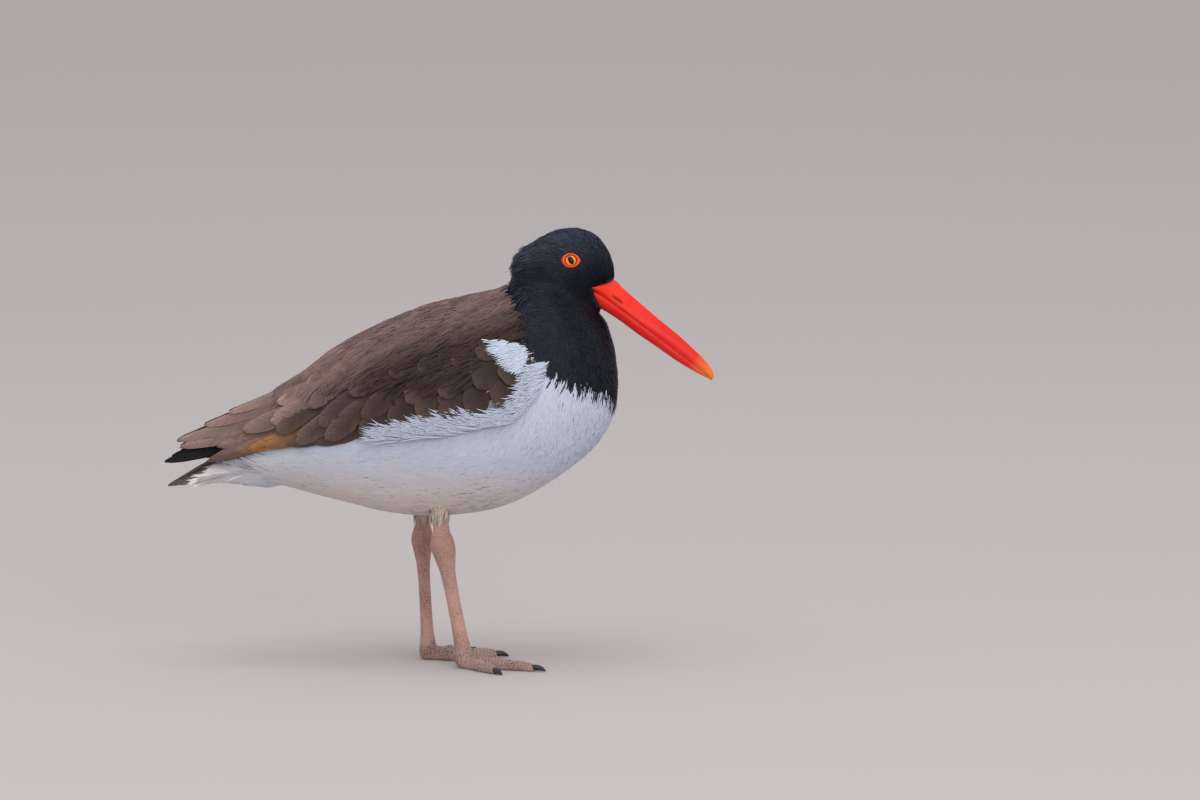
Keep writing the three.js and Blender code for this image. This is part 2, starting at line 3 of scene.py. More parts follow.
import bpy
import numpy as np
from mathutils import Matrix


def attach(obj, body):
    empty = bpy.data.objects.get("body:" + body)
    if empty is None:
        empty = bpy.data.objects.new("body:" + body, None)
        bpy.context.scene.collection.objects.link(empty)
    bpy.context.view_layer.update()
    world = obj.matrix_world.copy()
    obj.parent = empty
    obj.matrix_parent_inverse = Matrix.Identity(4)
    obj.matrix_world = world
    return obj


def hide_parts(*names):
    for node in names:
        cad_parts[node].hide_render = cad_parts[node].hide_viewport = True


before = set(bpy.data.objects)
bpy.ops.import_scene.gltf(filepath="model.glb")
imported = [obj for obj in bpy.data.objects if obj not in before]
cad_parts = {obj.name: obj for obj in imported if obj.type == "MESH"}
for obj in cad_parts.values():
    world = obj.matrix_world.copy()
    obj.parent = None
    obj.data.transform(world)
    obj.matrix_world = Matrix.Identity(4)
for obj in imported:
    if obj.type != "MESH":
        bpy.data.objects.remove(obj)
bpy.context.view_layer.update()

# Oystercatcher standing at ease, life size. Sizes below are in millimetres unless a name says otherwise;
# the frame's own unit is the metre. +X runs towards the bill, +Y to the bird's left, +Z up.
MM = 0.001


# Camera: level with the bird's right side, a little above its back, far off with a long lens, so that
# the bird keeps the true proportions of its side view.
AIM = (0.096, 0.0, 0.1596)
DISTANCE = 6.0
LOOKING_DOWN = math.radians(7)
LENS = 300
SENSOR = 36
FARTHEST = 100


def placed(name, data):
    """New object in the scene."""
    item = bpy.data.objects.new(name, data)
    bpy.context.scene.collection.objects.link(item)
    return item


camera_lens = bpy.data.cameras.new("camera")
camera_lens.lens = LENS
camera_lens.sensor_width = SENSOR
camera_lens.clip_end = FARTHEST
camera = placed("camera", camera_lens)
camera.location = (
    AIM[0], AIM[1] - DISTANCE * math.cos(LOOKING_DOWN), AIM[2] + DISTANCE * math.sin(LOOKING_DOWN)
)
camera.rotation_euler = (math.pi / 2 - LOOKING_DOWN, 0, 0)
bpy.context.scene.camera = camera


# Skin: one soft surface over the trunk, neck, head and folded arms, without a seam. It lies inside the
# plumage by the depth of the feathers, and carries the same black, white and brown as they do.
# Stations: upper line (x, z), lower line (x, z), half width, fullness towards the lower line.
BODY = np.array([
    [-131, 126.5, -132, 116.5, 7, 1],
    [-108, 142, -110, 111, 17, 1],
    [-82, 164, -86, 105, 28, 1],
    [-54, 186, -57, 97.5, 40, 1],
    [-26, 201.5, -25, 90.7, 46.5, 1],
    [2, 211.5, 8, 90, 50, 1.1],
    [22, 218, 42, 97, 51, 1.2],
    [34, 223, 72, 113.5, 49, 1.25],
    [39, 228, 96, 135, 43, 1.2],
    [41, 231.5, 107.5, 159, 36, 1.15],
    [42.5, 236, 107.5, 185, 29, 1.1],
    [45, 241, 102.5, 205, 23, 1],
    [52, 247, 97.5, 213, 17, 1],
])
HEAD = np.array([
    [43.8, 243, 48, 224.9, 9, 1],
    [49.2, 250.9, 55.2, 216.4, 15, 1],
    [60, 258.1, 66, 210.4, 17.5, 1],
    [72, 263, 78, 208.5, 17.5, 1],
    [84, 263.6, 88.2, 210.4, 16, 1],
    [94.8, 258.7, 94.8, 212.8, 13, 1],
    [102, 249.1, 97.8, 214, 9.8, 1],
    [105, 239.4, 98.4, 214.6, 7.5, 1],
    [105, 231.5, 97.8, 215.8, 5.5, 1],
])
# Outer surface of the back and the folded wings
FOLDED = np.array([
    [-177, 126, -175, 120.5, 3, 1],
    [-163, 133.5, -161, 124, 4, 1],
    [-150, 140.5, -148, 117, 10, 1],
    [-135, 147.5, -134, 112, 15, 1],
    [-120, 154.8, -119, 108, 20, 1],
    [-102, 163.8, -101, 104, 26, 1],
    [-82, 176, -81, 99, 34, 1],
    [-60, 192, -58, 94, 43, 1],
    [-34, 205.5, -32, 89, 50, 1],
    [-6, 216.5, -3, 87, 54.5, 1.05],
    [18, 222.3, 30, 90, 56, 1.1],
    [33, 226, 66, 107, 53, 1.2],
    [40, 229.5, 94, 131, 46, 1.2],
    [43, 233.5, 110, 160, 38, 1.2],
])
# Lower edge of the folded wing (x, z), from its tip to its bend
WING_EDGE = np.array([
    [-160, 125.5], [-141, 123.5], [-126, 129], [-107, 134.5], [-84, 137], [-62, 141], [-22, 152],
    [-6, 156], [30, 160], [41, 169.5], [44, 182],
])
HALVINGS = 26
BODY_COAT = 2.4
HEAD_COAT = 1.0


def section(rows, s):
    """Columns of a row of stations at the distances s along it, on a smooth curve."""
    last = len(rows) - 1
    i = np.clip(np.floor(s).astype(int), 0, last - 1)
    f = (s - i)[..., None]
    ends = np.vstack([2 * rows[0] - rows[1], rows, 2 * rows[-1] - rows[-2]])
    before, p, q, after = (ends[i + k] for k in range(4))
    bend = (2 * before - 5 * p + 4 * q - after) * f ** 2
    twist = (3 * p - before - 3 * q + after) * f ** 3
    return 0.5 * (2 * p + (q - before) * f + bend + twist)


def columns_at(rows, s):
    return np.moveaxis(section(rows, s), -1, 0)


def bare(rows, s, angle):
    """Points of a form at stations s and the angles round it, which start at the upper line."""
    ux, uz, lx, lz, width, full = columns_at(rows, s)
    t = ((1 - np.cos(angle)) / 2) ** (1 / full)
    return np.stack([ux + (lx - ux) * t, width * np.sin(angle), uz + (lz - uz) * t], -1)


def unit(vectors):
    return vectors / np.maximum(np.linalg.norm(vectors, axis=-1, keepdims=True), 1e-9)


def outward(rows, s, angle):
    """Unit normals of a form."""
    step = 0.01
    along = bare(rows, s + step, angle) - bare(rows, s - step, angle)
    around = bare(rows, s, angle + step) - bare(rows, s, angle - step)
    ux, uz, lx, lz = columns_at(rows, s)[:4]
    middle = np.stack([(ux + lx) / 2, 0 * ux, (uz + lz) / 2], -1)
    normals = unit(np.cross(along, around))
    inward = np.sum(normals * (bare(rows, s, angle) - middle), -1) < 0
    return np.where(inward[..., None], -normals, normals)


def surface(rows, s, angle, lift=0.0):
    """Points of a form, raised off it by a lift."""
    height = np.broadcast_to(np.asarray(lift, float), np.shape(s))[..., None]
    return bare(rows, s, angle) + outward(rows, s, angle) * height


def level(rows, s, x, z):
    """How high points of the side view lie in their sections: 1 at the upper line, -1 at the lower one."""
    ux, uz, lx, lz, _, full = columns_at(rows, s)
    t = ((x - ux) * (lx - ux) + (z - uz) * (lz - uz)) / ((lx - ux) ** 2 + (lz - uz) ** 2)
    return 1 - 2 * np.clip(t, 0, 1) ** full


def locate(rows, points):
    """Stations and angles of a form's surface nearest to points, as seen from the middle of each section."""
    x, y, z = np.moveaxis(np.asarray(points, float), -1, 0)
    low = np.zeros_like(x)
    high = np.full_like(x, len(rows) - 1)
    for _ in range(HALVINGS):
        s = (low + high) / 2
        ux, uz, lx, lz = columns_at(rows, s)[:4]
        ahead = (lx - ux) * (z - uz) - (lz - uz) * (x - ux) < 0
        low, high = np.where(ahead, low, s), np.where(ahead, s, high)
    s = (low + high) / 2
    return s, np.arctan2(y / section(rows, s)[..., 4], level(rows, s, x, z))


def from_side(rows, flat, side):
    """Stations and angles where points of the side view (x, z) lie on the right (-1) or left (1) side."""
    x, z = np.moveaxis(np.asarray(flat, float), -1, 0)
    s, _ = locate(rows, np.stack([x, 0 * x, z], -1))
    return s, side * np.arccos(level(rows, s, x, z))


def facing_out(points, faces, way=None):
    """The triangles, turned so that they face away from the middle, or along a way that is given."""
    a, b, c = (points[faces[:, k]] for k in range(3))
    outwards = (a + b + c) / 3 - points.mean(0) if way is None else way
    return faces if np.sum(np.cross(b - a, c - a) * outwards) > 0 else faces[:, ::-1]


def triangles(*corners):
    """List of triangles from grids of the numbers of their corners."""
    return np.concatenate([np.stack(three, -1).reshape(-1, 3) for three in corners])


def closed(top, under):
    """Closed form between two grids of points: all points, then all triangles."""
    rings, columns = top.shape[:2]
    index = np.arange(rings * columns).reshape(rings, columns)
    a, b, c, d = index[:-1, :-1], index[:-1, 1:], index[1:, :-1], index[1:, 1:]
    upper = triangles((a, b, c), (b, d, c))
    lower = upper[:, ::-1] + index.size
    rim = np.concatenate([index[0, :-1], index[:-1, -1], index[-1, :0:-1], index[:0:-1, 0]])
    beyond = np.roll(rim, -1)
    edge = triangles((beyond, rim, rim + index.size), (beyond, rim + index.size, beyond + index.size))
    points = np.concatenate([top.reshape(-1, 3), under.reshape(-1, 3)])
    return points, facing_out(points, np.concatenate([upper, lower, edge]))


def tube(rings, sides):
    """Numbers of the points of a tube, ring by ring, and its triangles."""
    index = np.arange(rings * sides).reshape(rings, sides)
    a, c = index[:-1], index[1:]
    b, d = np.roll(a, -1, 1), np.roll(c, -1, 1)
    return index, triangles((a, c, b), (b, c, d))


def loft(rows, rings, sides, lift=0.0):
    """Closed form through a row of stations."""
    turns = np.arange(sides) * 2 * np.pi / sides
    s, angle = np.meshgrid(np.linspace(0, len(rows) - 1, rings + 1), turns, indexing="ij")
    points = surface(rows, s, angle, lift).reshape(-1, 3)
    index, wall = tube(rings + 1, sides)
    faces = [wall]
    for rim, turn in ((index[0], 1), (index[-1], -1)):
        faces.append(np.stack([np.full(sides, len(points)), rim, np.roll(rim, -1)], -1)[:, ::turn])
        points = np.vstack([points, points[rim].mean(0)])
    return points, facing_out(points, np.concatenate(faces))


def joined(forms):
    """Points and triangles of several forms in one list."""
    counts = np.cumsum([0] + [len(points) for points, _ in forms])
    points = np.concatenate([points for points, _ in forms])
    return points, np.concatenate([faces + start for (_, faces), start in zip(forms, counts)])


def piece_of(name, points, faces):
    """New object with this mesh, from millimetres."""
    mesh = bpy.data.meshes.new(name)
    mesh.vertices.add(len(points))
    mesh.vertices.foreach_set("co", np.asarray(points * MM, np.float32).ravel())
    mesh.loops.add(faces.size)
    mesh.loops.foreach_set("vertex_index", np.asarray(faces, np.int32).ravel())
    mesh.polygons.add(len(faces))
    mesh.polygons.foreach_set("loop_start", np.arange(len(faces), dtype=np.int32) * faces.shape[1])
    mesh.update(calc_edges=True)
    mesh.shade_smooth()
    return placed(name, mesh)


def fused(name, forms, voxel, smoothing):
    """One closed skin over overlapping forms, with the creases between them smoothed."""
    piece = piece_of(name, *joined(forms))
    remesh = piece.modifiers.new("remesh", "REMESH")
    remesh.mode = "VOXEL"
    remesh.voxel_size = voxel * MM
    soften = piece.modifiers.new("soften", "SMOOTH")
    soften.factor = 0.5
    soften.iterations = smoothing
    graph = bpy.context.evaluated_depsgraph_get()
    mesh = bpy.data.meshes.new_from_object(piece.evaluated_get(graph))
    piece.modifiers.clear()
    piece.data = mesh
    mesh.shade_smooth()
    return piece


def points_of(piece):
    """Points and unit normals of a piece's mesh, in millimetres."""
    mesh = piece.data
    points = np.empty(3 * len(mesh.vertices), np.float32)
    normals = np.empty_like(points)
    mesh.vertices.foreach_get("co", points)
    mesh.vertices.foreach_get("normal", normals)
    return points.reshape(-1, 3).astype(float) / MM, normals.reshape(-1, 3).astype(float)


def paint(piece, name, colours):
    """Keeps a colour for each point of the mesh."""
    full = np.ones((len(colours), 4), np.float32)
    full[:, :colours.shape[1]] = colours
    layer = piece.data.color_attributes.new(name, "FLOAT_COLOR", "POINT")
    layer.data.foreach_set("color", full.ravel())


def fade(value, start, end):
    """0 up to start, 1 from end on, and even between; end may also be the lower one."""
    return np.clip((value - start) / (end - start), 0, 1)


def between(ends, share):
    """Value at a share of the way from the first of two ends to the second."""
    return ends[0] + (ends[1] - ends[0]) * share


edge_s, edge_angle = from_side(FOLDED, WING_EDGE, 1)


def wing_edge(s):
    """Angle of the wing's lower edge at stations of the folded surface."""
    return np.interp(s, edge_s, edge_angle)


# Bed of the wing feathers: stations from rear to front, depth, distance from the wing's edge, how far it
# sinks towards its front and its edges, and its thickness
BED_SPAN = (4.4, 12.3)
BED_DEPTH = 3.2
BED_INSET = 5
BED_FRONT = (11.5, 12.3)
BED_FRONT_SINK = 4
BED_EDGE_SINK = 2.5
BED_THICKNESS = (1, 9)


def saddle():
    """Arms of both folded wings and the back between them, as one bed under their feathers."""
    s, share = np.meshgrid(np.linspace(*BED_SPAN, 40), np.linspace(-1, 1, 41), indexing="ij")
    angle = share * (wing_edge(s) - BED_INSET / section(FOLDED, s)[..., 4])
    lift = -BED_DEPTH - BED_FRONT_SINK * fade(s, *BED_FRONT) - BED_EDGE_SINK * np.abs(share) ** 12
    depth = np.clip((s - BED_SPAN[0]) * 4, *BED_THICKNESS)
    return closed(surface(FOLDED, s, angle, lift), surface(FOLDED, s, angle, lift - depth))


# Borders of the markings in the side view: lower edge of the black bib as x and z, front edge of the
# brown back as z and x, height of the white shoulder, and the heights over which painted warm light,
# bounced up from the floor, turns the underside of the belly cream
BIB = ((54, 63, 75, 96, 108), (198, 184, 177.5, 169, 159))
BACK_EDGE = ((196, 212, 226, 240), (53, 46, 37, 31))
SHOULDER = 199
BACK_END = 70
PAINTED_BOUNCE_SPAN = (134, 102)
BLACK = np.array([0.010, 0.012, 0.019])
# WHITE holds a painted cool tint of the light from above; mixed towards CREAM lower down, it stands for
# painted warm light bounced up from the floor.
WHITE = np.array([0.58, 0.63, 0.755])
CREAM = np.array([0.74, 0.67, 0.63])
BROWN = np.array([0.13, 0.082, 0.072])
SKIN_SHADE = 0.8


def waves(points):
    """Slow unevenness from -1 to 1, which makes the borders of the markings ragged."""
    x, y, z = points.T
    return (
        0.45 * np.sin(0.62 * x + 0.9 * y + 0.3 * z) + 0.35 * np.sin(1.31 * x - 0.7 * y + 1)
        + 0.2 * np.sin(0.5 * y + 1.9 * z)
    )


def markings(points, stray=0.0):
    """Colour of the plumage at points. stray moves the borders, by a random amount for each tuft."""
    x, _, z = points.T
    uneven = waves(points)
    black = z > np.interp(x, *BIB) + 3 * uneven + stray
    black &= x > np.interp(z, *BACK_EDGE) + 1.2 * uneven + 1.6 * stray
    brown = ~black & (z > SHOULDER + 2 * uneven + stray) & (x < BACK_END)
    # Painted light: the white turns cream towards the underside, where warm light bounced from the floor
    # falls.
    warm_bounce = fade(z - 6 * uneven, *PAINTED_BOUNCE_SPAN)[:, None]
    colour = np.where(black[:, None], BLACK, between((WHITE, CREAM), warm_bounce))
    return np.where(brown[:, None], BROWN, colour)


# Rear edge of the horn at the base of the bill as z and x, from the chin over the gape to the forehead,
# where the face is pinched in under the horn
FACE_EDGE = ((212, 216.8, 227.7, 233.3, 240), (99, 93.6, 90.8, 104.4, 114))
FACE_HEIGHTS = (212, 236)
FACE_PINCH = 0.45
PINCH_SPAN = (0, 5)


def ahead_of_face(points):
    """How far the horn of the bill reaches back over each point, where it does."""
    x, _, z = points.T
    level_with_horn = (z > FACE_HEIGHTS[0]) & (z < FACE_HEIGHTS[1])
    return np.where(level_with_horn, x - np.interp(z, *FACE_EDGE), -1)


trunk = loft(BODY, rings=80, sides=72, lift=-BODY_COAT)
skull = loft(HEAD, rings=50, sides=60, lift=-HEAD_COAT)
skin = fused("skin", [trunk, skull, saddle()], voxel=1.7, smoothing=14)
skin_points, _ = points_of(skin)
skin_points[:, 1] *= 1 - FACE_PINCH * fade(ahead_of_face(skin_points), *PINCH_SPAN)
skin.data.vertices.foreach_set("co", np.asarray(skin_points * MM, np.float32).ravel())
skin.data.update()
skin_points, skin_normals = points_of(skin)
paint(skin, "tone", markings(skin_points) * SKIN_SHADE)


class Socket:
    """One output of a shader node. A sum written on it adds its own nodes."""

    def __init__(self, finish, output):
        self.finish = finish
        self.output = output

    def sum(self, operation, first, second=0.0):
        return self.finish.node("ShaderNodeMath", {"operation": operation}, {0: first, 1: second})

    def __add__(self, other):
        return self.sum("ADD", self, other)

    def __radd__(self, other):
        return self.sum("ADD", other, self)

    def __sub__(self, other):
        return self.sum("SUBTRACT", self, other)

    def __rsub__(self, other):
        return self.sum("SUBTRACT", other, self)

    def __mul__(self, other):
        return self.sum("MULTIPLY", self, other)

    def __rmul__(self, other):
        return self.sum("MULTIPLY", other, self)

    def __truediv__(self, other):
        return self.sum("DIVIDE", self, other)

    def __rtruediv__(self, other):
        return self.sum("DIVIDE", other, self)

    def __pow__(self, other):
        return self.sum("POWER", self, other)

    def __rpow__(self, other):
        return self.sum("POWER", other, self)

    def __abs__(self):
        return self.sum("ABSOLUTE", self)

    def sine(self):
        return self.sum("SINE", self)


class Finish:
    """Material with a Principled shader. Constants are set on the shader's own sockets."""

    def __init__(self, name, constants):
        self.material = bpy.data.materials.new(name)
        self.material.use_nodes = True
        self.tree = self.material.node_tree
        self.shader = self.tree.nodes["Principled BSDF"]
        for socket, value in constants.items():
            self.shader.inputs[socket].default_value = value

    def node(self, kind, settings, values, output=0):
        """Adds a node: its settings first, then the values or links of its sockets."""
        node = self.tree.nodes.new(kind)
        for name, value in settings.items():
            setattr(node, name, value)
        for socket, value in values.items():
            if isinstance(value, Socket):
                self.tree.links.new(value.output, node.inputs[socket])
            else:
                node.inputs[socket].default_value = value
        return Socket(self, node.outputs[output])

    def place(self):
        """Place on the piece, in metres."""
        return self.node("ShaderNodeTexCoord", {}, {}, "Object")

    def kept(self, name):
        """A colour kept on the mesh."""
        return self.node("ShaderNodeAttribute", {"attribute_name": name}, {}, "Color")

    def parts(self, colour):
        """The three parts of a colour."""
        split = self.node("ShaderNodeSeparateColor", {}, {0: colour})
        return [Socket(self, output) for output in split.output.node.outputs]

    def joint(self, *values):
        return self.node("ShaderNodeCombineXYZ", {}, dict(enumerate(values)))

    def mix(self, share, first, second, blend="MIX"):
        settings = {"data_type": "RGBA", "blend_type": blend}
        return self.node("ShaderNodeMix", settings, {0: share, 6: first, 7: second}, 2)

    def ramp(self, value, low, high):
        """0 below low, 1 above high, smooth between."""
        settings = {"interpolation_type": "SMOOTHSTEP"}
        return self.node("ShaderNodeMapRange", settings, {0: value, 1: low, 2: high})

    def noise(self, place, scale, detail=3.0, output=0):
        values = {"Vector": place, "Scale": scale, "Detail": detail}
        return self.node("ShaderNodeTexNoise", {}, values, output)

    def bump(self, height, distance):
        """Raises the surface by a height of 0 to 1 times distance in millimetres."""
        self.set("Normal", self.node("ShaderNodeBump", {}, {"Height": height, "Distance": distance * MM}))

    def set(self, socket, value):
        self.tree.links.new(value.output, self.shader.inputs[socket])


def dress(piece, finish, slot, *nodes):
    """Gives a piece its finish and its place in the frame."""
    piece.data.materials.clear()
    piece.data.materials.append(finish.material)
    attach(piece, "root")
    if nodes:
        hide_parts(*nodes)


MOTTLE_TONE = (0.6, 0.6, 0.6, 1)
MOTTLE_SCALE = 260.0
DOWN_SCALE = 1500.0
DOWN_RELIEF = 0.08


def feathery(name, constants, mottling):
    """Finish of small feathers, whose colour is kept on the mesh."""
    finish = Finish(name, constants)
    place = finish.place()
    mottle = finish.noise(place, MOTTLE_SCALE)
    finish.set("Base Color", finish.mix(mottle * mottling, finish.kept("tone"), MOTTLE_TONE, "MULTIPLY"))
    finish.bump(finish.noise(place, DOWN_SCALE), DOWN_RELIEF)
    return finish


plumage = feathery("plumage", {
    "Roughness": 0.6, "Specular IOR Level": 0.3, "Sheen Weight": 0.12, "Sheen Roughness": 0.4,
    "Sheen Tint": (0.72, 0.82, 1.0, 1.0),
}, mottling=0.25)
glossy_black = feathery("glossy black", {
    "Roughness": 0.42, "Specular IOR Level": 0.24, "Specular Tint": (0.72, 0.80, 1.0, 1.0),
}, mottling=0.5)
dress(skin, plumage, "white_feathers", "head", "neck", "torso")


# Body feathers: thousands of thin tapering tufts rooted in the skin and lying along the body, away from
# the bill over the head and down the neck, and back along the trunk. They are smallest on the face.
BILL_ROOT = np.array([97.0, 0, 224.0])
NEARNESS = (1, 0.8, 1)
EYE = np.array([78.6, 245.6])
EYE_ACROSS = (5.3, 4.3)
BARE_GAPE = 0.6
# Length of the tufts by their distance from the bill; distances over which they turn down and turn back
TUFT_LENGTHS = ([4, 12, 30, 55, 80, 130, 200], [1.7, 2.6, 4.6, 7.2, 9.6, 12.5, 14.5])
FALLING = 60
FALLING_SPAN = (20, 95)
BACKWARD_SPAN = (75, 145)
# How far forward (x) the wing and the brown back cover the skin, by height (z)
WING_FRONT = ([156, 160, 172, 180, 186, 198, 201, 212, 226], [20, 27, 36, 36, 26, 22, 50, 42, 33])
# One tuft: three points across at three shares of its length, then its tip
TUFT_SHARES = np.array([0.0, 0.4, 0.75, 1.0])
TUFT_WIDTHS = np.array([0.55, 1.0, 0.7, 0.0])
TUFT_FACES = np.array([
    [0, 3, 1], [1, 3, 4], [1, 4, 2], [2, 4, 5], [3, 6, 4],
    [4, 6, 7], [4, 7, 5], [5, 7, 8], [6, 9, 7], [7, 9, 8],
])
TUFT_SUNK = 0.3
TUFT_STRAY = 0.13
TUFT_CURL = 0.06
TUFT_COVER = 0.6
TUFT_PATCH = 0.003
BAKE_MARGIN = 0.01

skin.data.calc_loop_triangles()
skin_faces = np.empty(3 * len(skin.data.loop_triangles), np.int32)
skin.data.loop_triangles.foreach_get("vertices", skin_faces)
skin_faces = skin_faces.reshape(-1, 3)
first, second, third = (skin_points[skin_faces[:, k]] for k in range(3))
face_middles = (first + second + third) / 3
face_areas = np.linalg.norm(np.cross(second - first, third - first), axis=1) / 2


def from_bill(points):
    return np.linalg.norm((points - BILL_ROOT) * NEARNESS, axis=-1)


def tuft_length(points):
    return np.interp(from_bill(points), *TUFT_LENGTHS)


def tuft_width(length, slimness=0.09, least=0.25):
    return slimness * length + least


def along_surface(way, normals):
    return unit(way - normals * np.sum(way * normals, -1, keepdims=True))


def lie(points, normals):
    """Way that the feathers lie: away from the bill at first, then towards the tail."""
    falling = FALLING * fade(from_bill(points), *FALLING_SPAN)[:, None]
    away = unit(points - BILL_ROOT - np.array([0, 0, 1]) * falling)
    share = fade(from_bill(points), *BACKWARD_SPAN)[:, None]
    return along_surface(away * (1 - share) + np.array([-1, 0, -0.1]) * share, normals)


def covered(points, margin):
    """Whether wing or back feathers hide the skin here, with a margin inside their edge."""
    s, angle = locate(FOLDED, points)
    inside = np.abs(angle) < wing_edge(s) - margin / section(FOLDED, s)[:, 4]
    front = np.interp(points[:, 2], *WING_FRONT) - margin / 2
    return inside & (points[:, 0] < front) & (s > BED_SPAN[0] - 1)


def scatter(draw, layers, wanted):
    """Roots and normals of tufts, spread so that they cover the wanted faces this many times over."""
    size = tuft_length(face_middles)
    weight = np.where(wanted, face_areas / (TUFT_COVER * size * tuft_width(size)), 0)
    count = int(layers * weight.sum())
    faces = draw.choice(len(weight), count, p=weight / weight.sum())
    share = draw.random((count, 2))
    share = np.where(share.sum(1, keepdims=True) > 1, 1 - share, share)
    parts = np.column_stack([1 - share.sum(1), share])[..., None]
    roots = (skin_points[skin_faces[faces]] * parts).sum(1)
    return roots, unit((skin_normals[skin_faces[faces]] * parts).sum(1))


def unwrapped(shape, points):
    """Places of points on a form laid out flat: along it, and round it."""
    s, angle = locate(shape, points)
    flat = np.stack([s / (len(shape) - 1), angle / (2 * np.pi) + 0.5], -1)
    return flat * (1 - 2 * BAKE_MARGIN) + BAKE_MARGIN


def lay_out(piece, places):
    """Keeps the place of each point in the bake."""
    corners = np.empty(len(piece.data.loops), np.int32)
    piece.data.loops.foreach_get("vertex_index", corners)
    layer = piece.data.uv_layers.new(name="OFBake")
    layer.data.foreach_set("uv", np.asarray(places[corners], np.float32).ravel())


def tufts(name, draw, shape, roots, normals, way, length, width, rise, curve, colours, dark, soft, bow):
    """Piece of many tufts on a shape. rise is the height of each tip over the skin, curve how fast it bends
    down, dark how much painted shade darkens the roots, which lie under other tufts, soft how far the tufts
    take their shading from the skin, and bow how straight they rise, from 0, at once, to 1, evenly."""
    count = len(roots)
    curve, dark, soft, bow = (np.broadcast_to(value, count)[:, None] for value in (curve, dark, soft, bow))
    across = np.cross(normals, way)
    way = unit(way + across * draw.normal(0, TUFT_STRAY, count)[:, None])
    across = np.cross(normals, way)
    reach = length[:, None] * TUFT_SHARES
    curl = draw.normal(0, TUFT_CURL, count)[:, None] * reach * TUFT_SHARES
    height = (rise[:, None] + TUFT_SUNK) * TUFT_SHARES ** bow - TUFT_SUNK - reach ** 2 * curve / 2
    spine = (
        roots[:, None] + way[:, None] * reach[..., None] + across[:, None] * curl[..., None]
        + normals[:, None] * height[..., None]
    )
    half = (width[:, None] * TUFT_WIDTHS / 2)[..., None]
    sides = across[:, None] * half
    rings = np.stack([spine - sides, spine + normals[:, None] * half * 0.5, spine + sides], 2)[:, :3]
    points = np.concatenate([rings.reshape(count, 9, 3), spine[:, 3:]], 1).reshape(-1, 3)
    faces = (np.arange(count)[:, None, None] * 10 + TUFT_FACES).reshape(-1, 3)
    piece = piece_of(name, points, faces)
    # Painted shade: each tuft darker towards its root, where it lies under the tufts over it.
    shade = 1 - dark * (1 - np.repeat(TUFT_SHARES, 3)[:10])
    paint(piece, "tone", (colours[:, None] * shade[..., None]).reshape(-1, 3))
    local = np.array([[k % 3, k // 3] for k in range(9)] + [[1, 3]]) * TUFT_PATCH / 3
    lay_out(piece, (unwrapped(shape, roots)[:, None] + local).reshape(-1, 2))
    soft = np.repeat(soft, 10, 0)
    shading = unit(np.repeat(normals, 10, 0) * soft + points_of(piece)[1] * (1 - soft))
    piece.data.normals_split_custom_set_from_vertices(shading.tolist())
    return piece


def varied(draw, colours, spread):
    """Each tuft a little lighter or darker than the next."""
    return colours * np.exp(draw.normal(0, 1, len(colours)) * spread)[:, None]


def ring(nearest, farthest):
    """Faces of the skin at these distances from the bill."""
    return (far >= nearest) & (far < farthest)


# Each coat: how many times it covers the skin, where it lies, its shape, depth and seed
far = from_bill(face_middles)
in_eye = np.hypot(*((face_middles[:, [0, 2]] - EYE) / EYE_ACROSS).T) < 1
bare_face = in_eye | (ahead_of_face(face_middles) > BARE_GAPE) | covered(face_middles, 5.0)
right = face_middles[:, 1] < 0
bibbed = markings(face_middles)[:, 0] < 0.4
COATS = [
    ("coat_face", 4.5, ring(0, 27), HEAD, 1.0, 31),
    ("coat_cheek", 4.5, ring(27, 42), HEAD, 1.2, 37),
    ("coat_crown", 4.5, ring(42, 62) & bibbed, HEAD, 1.5, 32),
    ("coat_neck", 5.0, ring(62, 92) & bibbed, BODY, 2.3, 33),
    ("coat_bosom", 6.0, ring(42, 92) & ~bibbed, BODY, 2.4, 38),
    ("coat_breast", 6.0, ring(92, 135), BODY, 2.4, 34),
    ("coat_flank_right", 6.0, ring(135, np.inf) & right, BODY, 2.4, 35),
    ("coat_flank_left", 6.0, ring(135, np.inf) & ~right, BODY, 2.4, 36),
]
# Pairs hold for white tufts and dark ones: length, width and bend against the usual, how much painted
# shade darkens the roots, how far they are shaded like the skin, and how uneven their tones are
LENGTHENED = (1.45, 1.0)
SLIMMED = (0.7, 1.0)
BENT = (0.5, 1)
ROOT_SHADE = (0.03, 0.45)
SOFTNESS = (0.94, 0.45)
UNEVEN_TONE = (0.03, 0.45)
CURVES = ([0, 40, 80, 140], [0.06, 0.05, 0.03, 0.02])
# Place of the tousled nape (x, z); borders of the bib and of the brown back, where the tufts overlap
# them; and where the tufts shorten towards the tail (x)
NAPE = (54, 222)
NAPE_TOUSLE = 3
BIB_BORDER = 8
BIB_REAR = 52
CAPE_BORDER = 9
CAPE_LOWEST = 192
CAPE_RISE = 1.8
CAPE_LENGTH = 3
REAR_SPAN = (-102, -120)
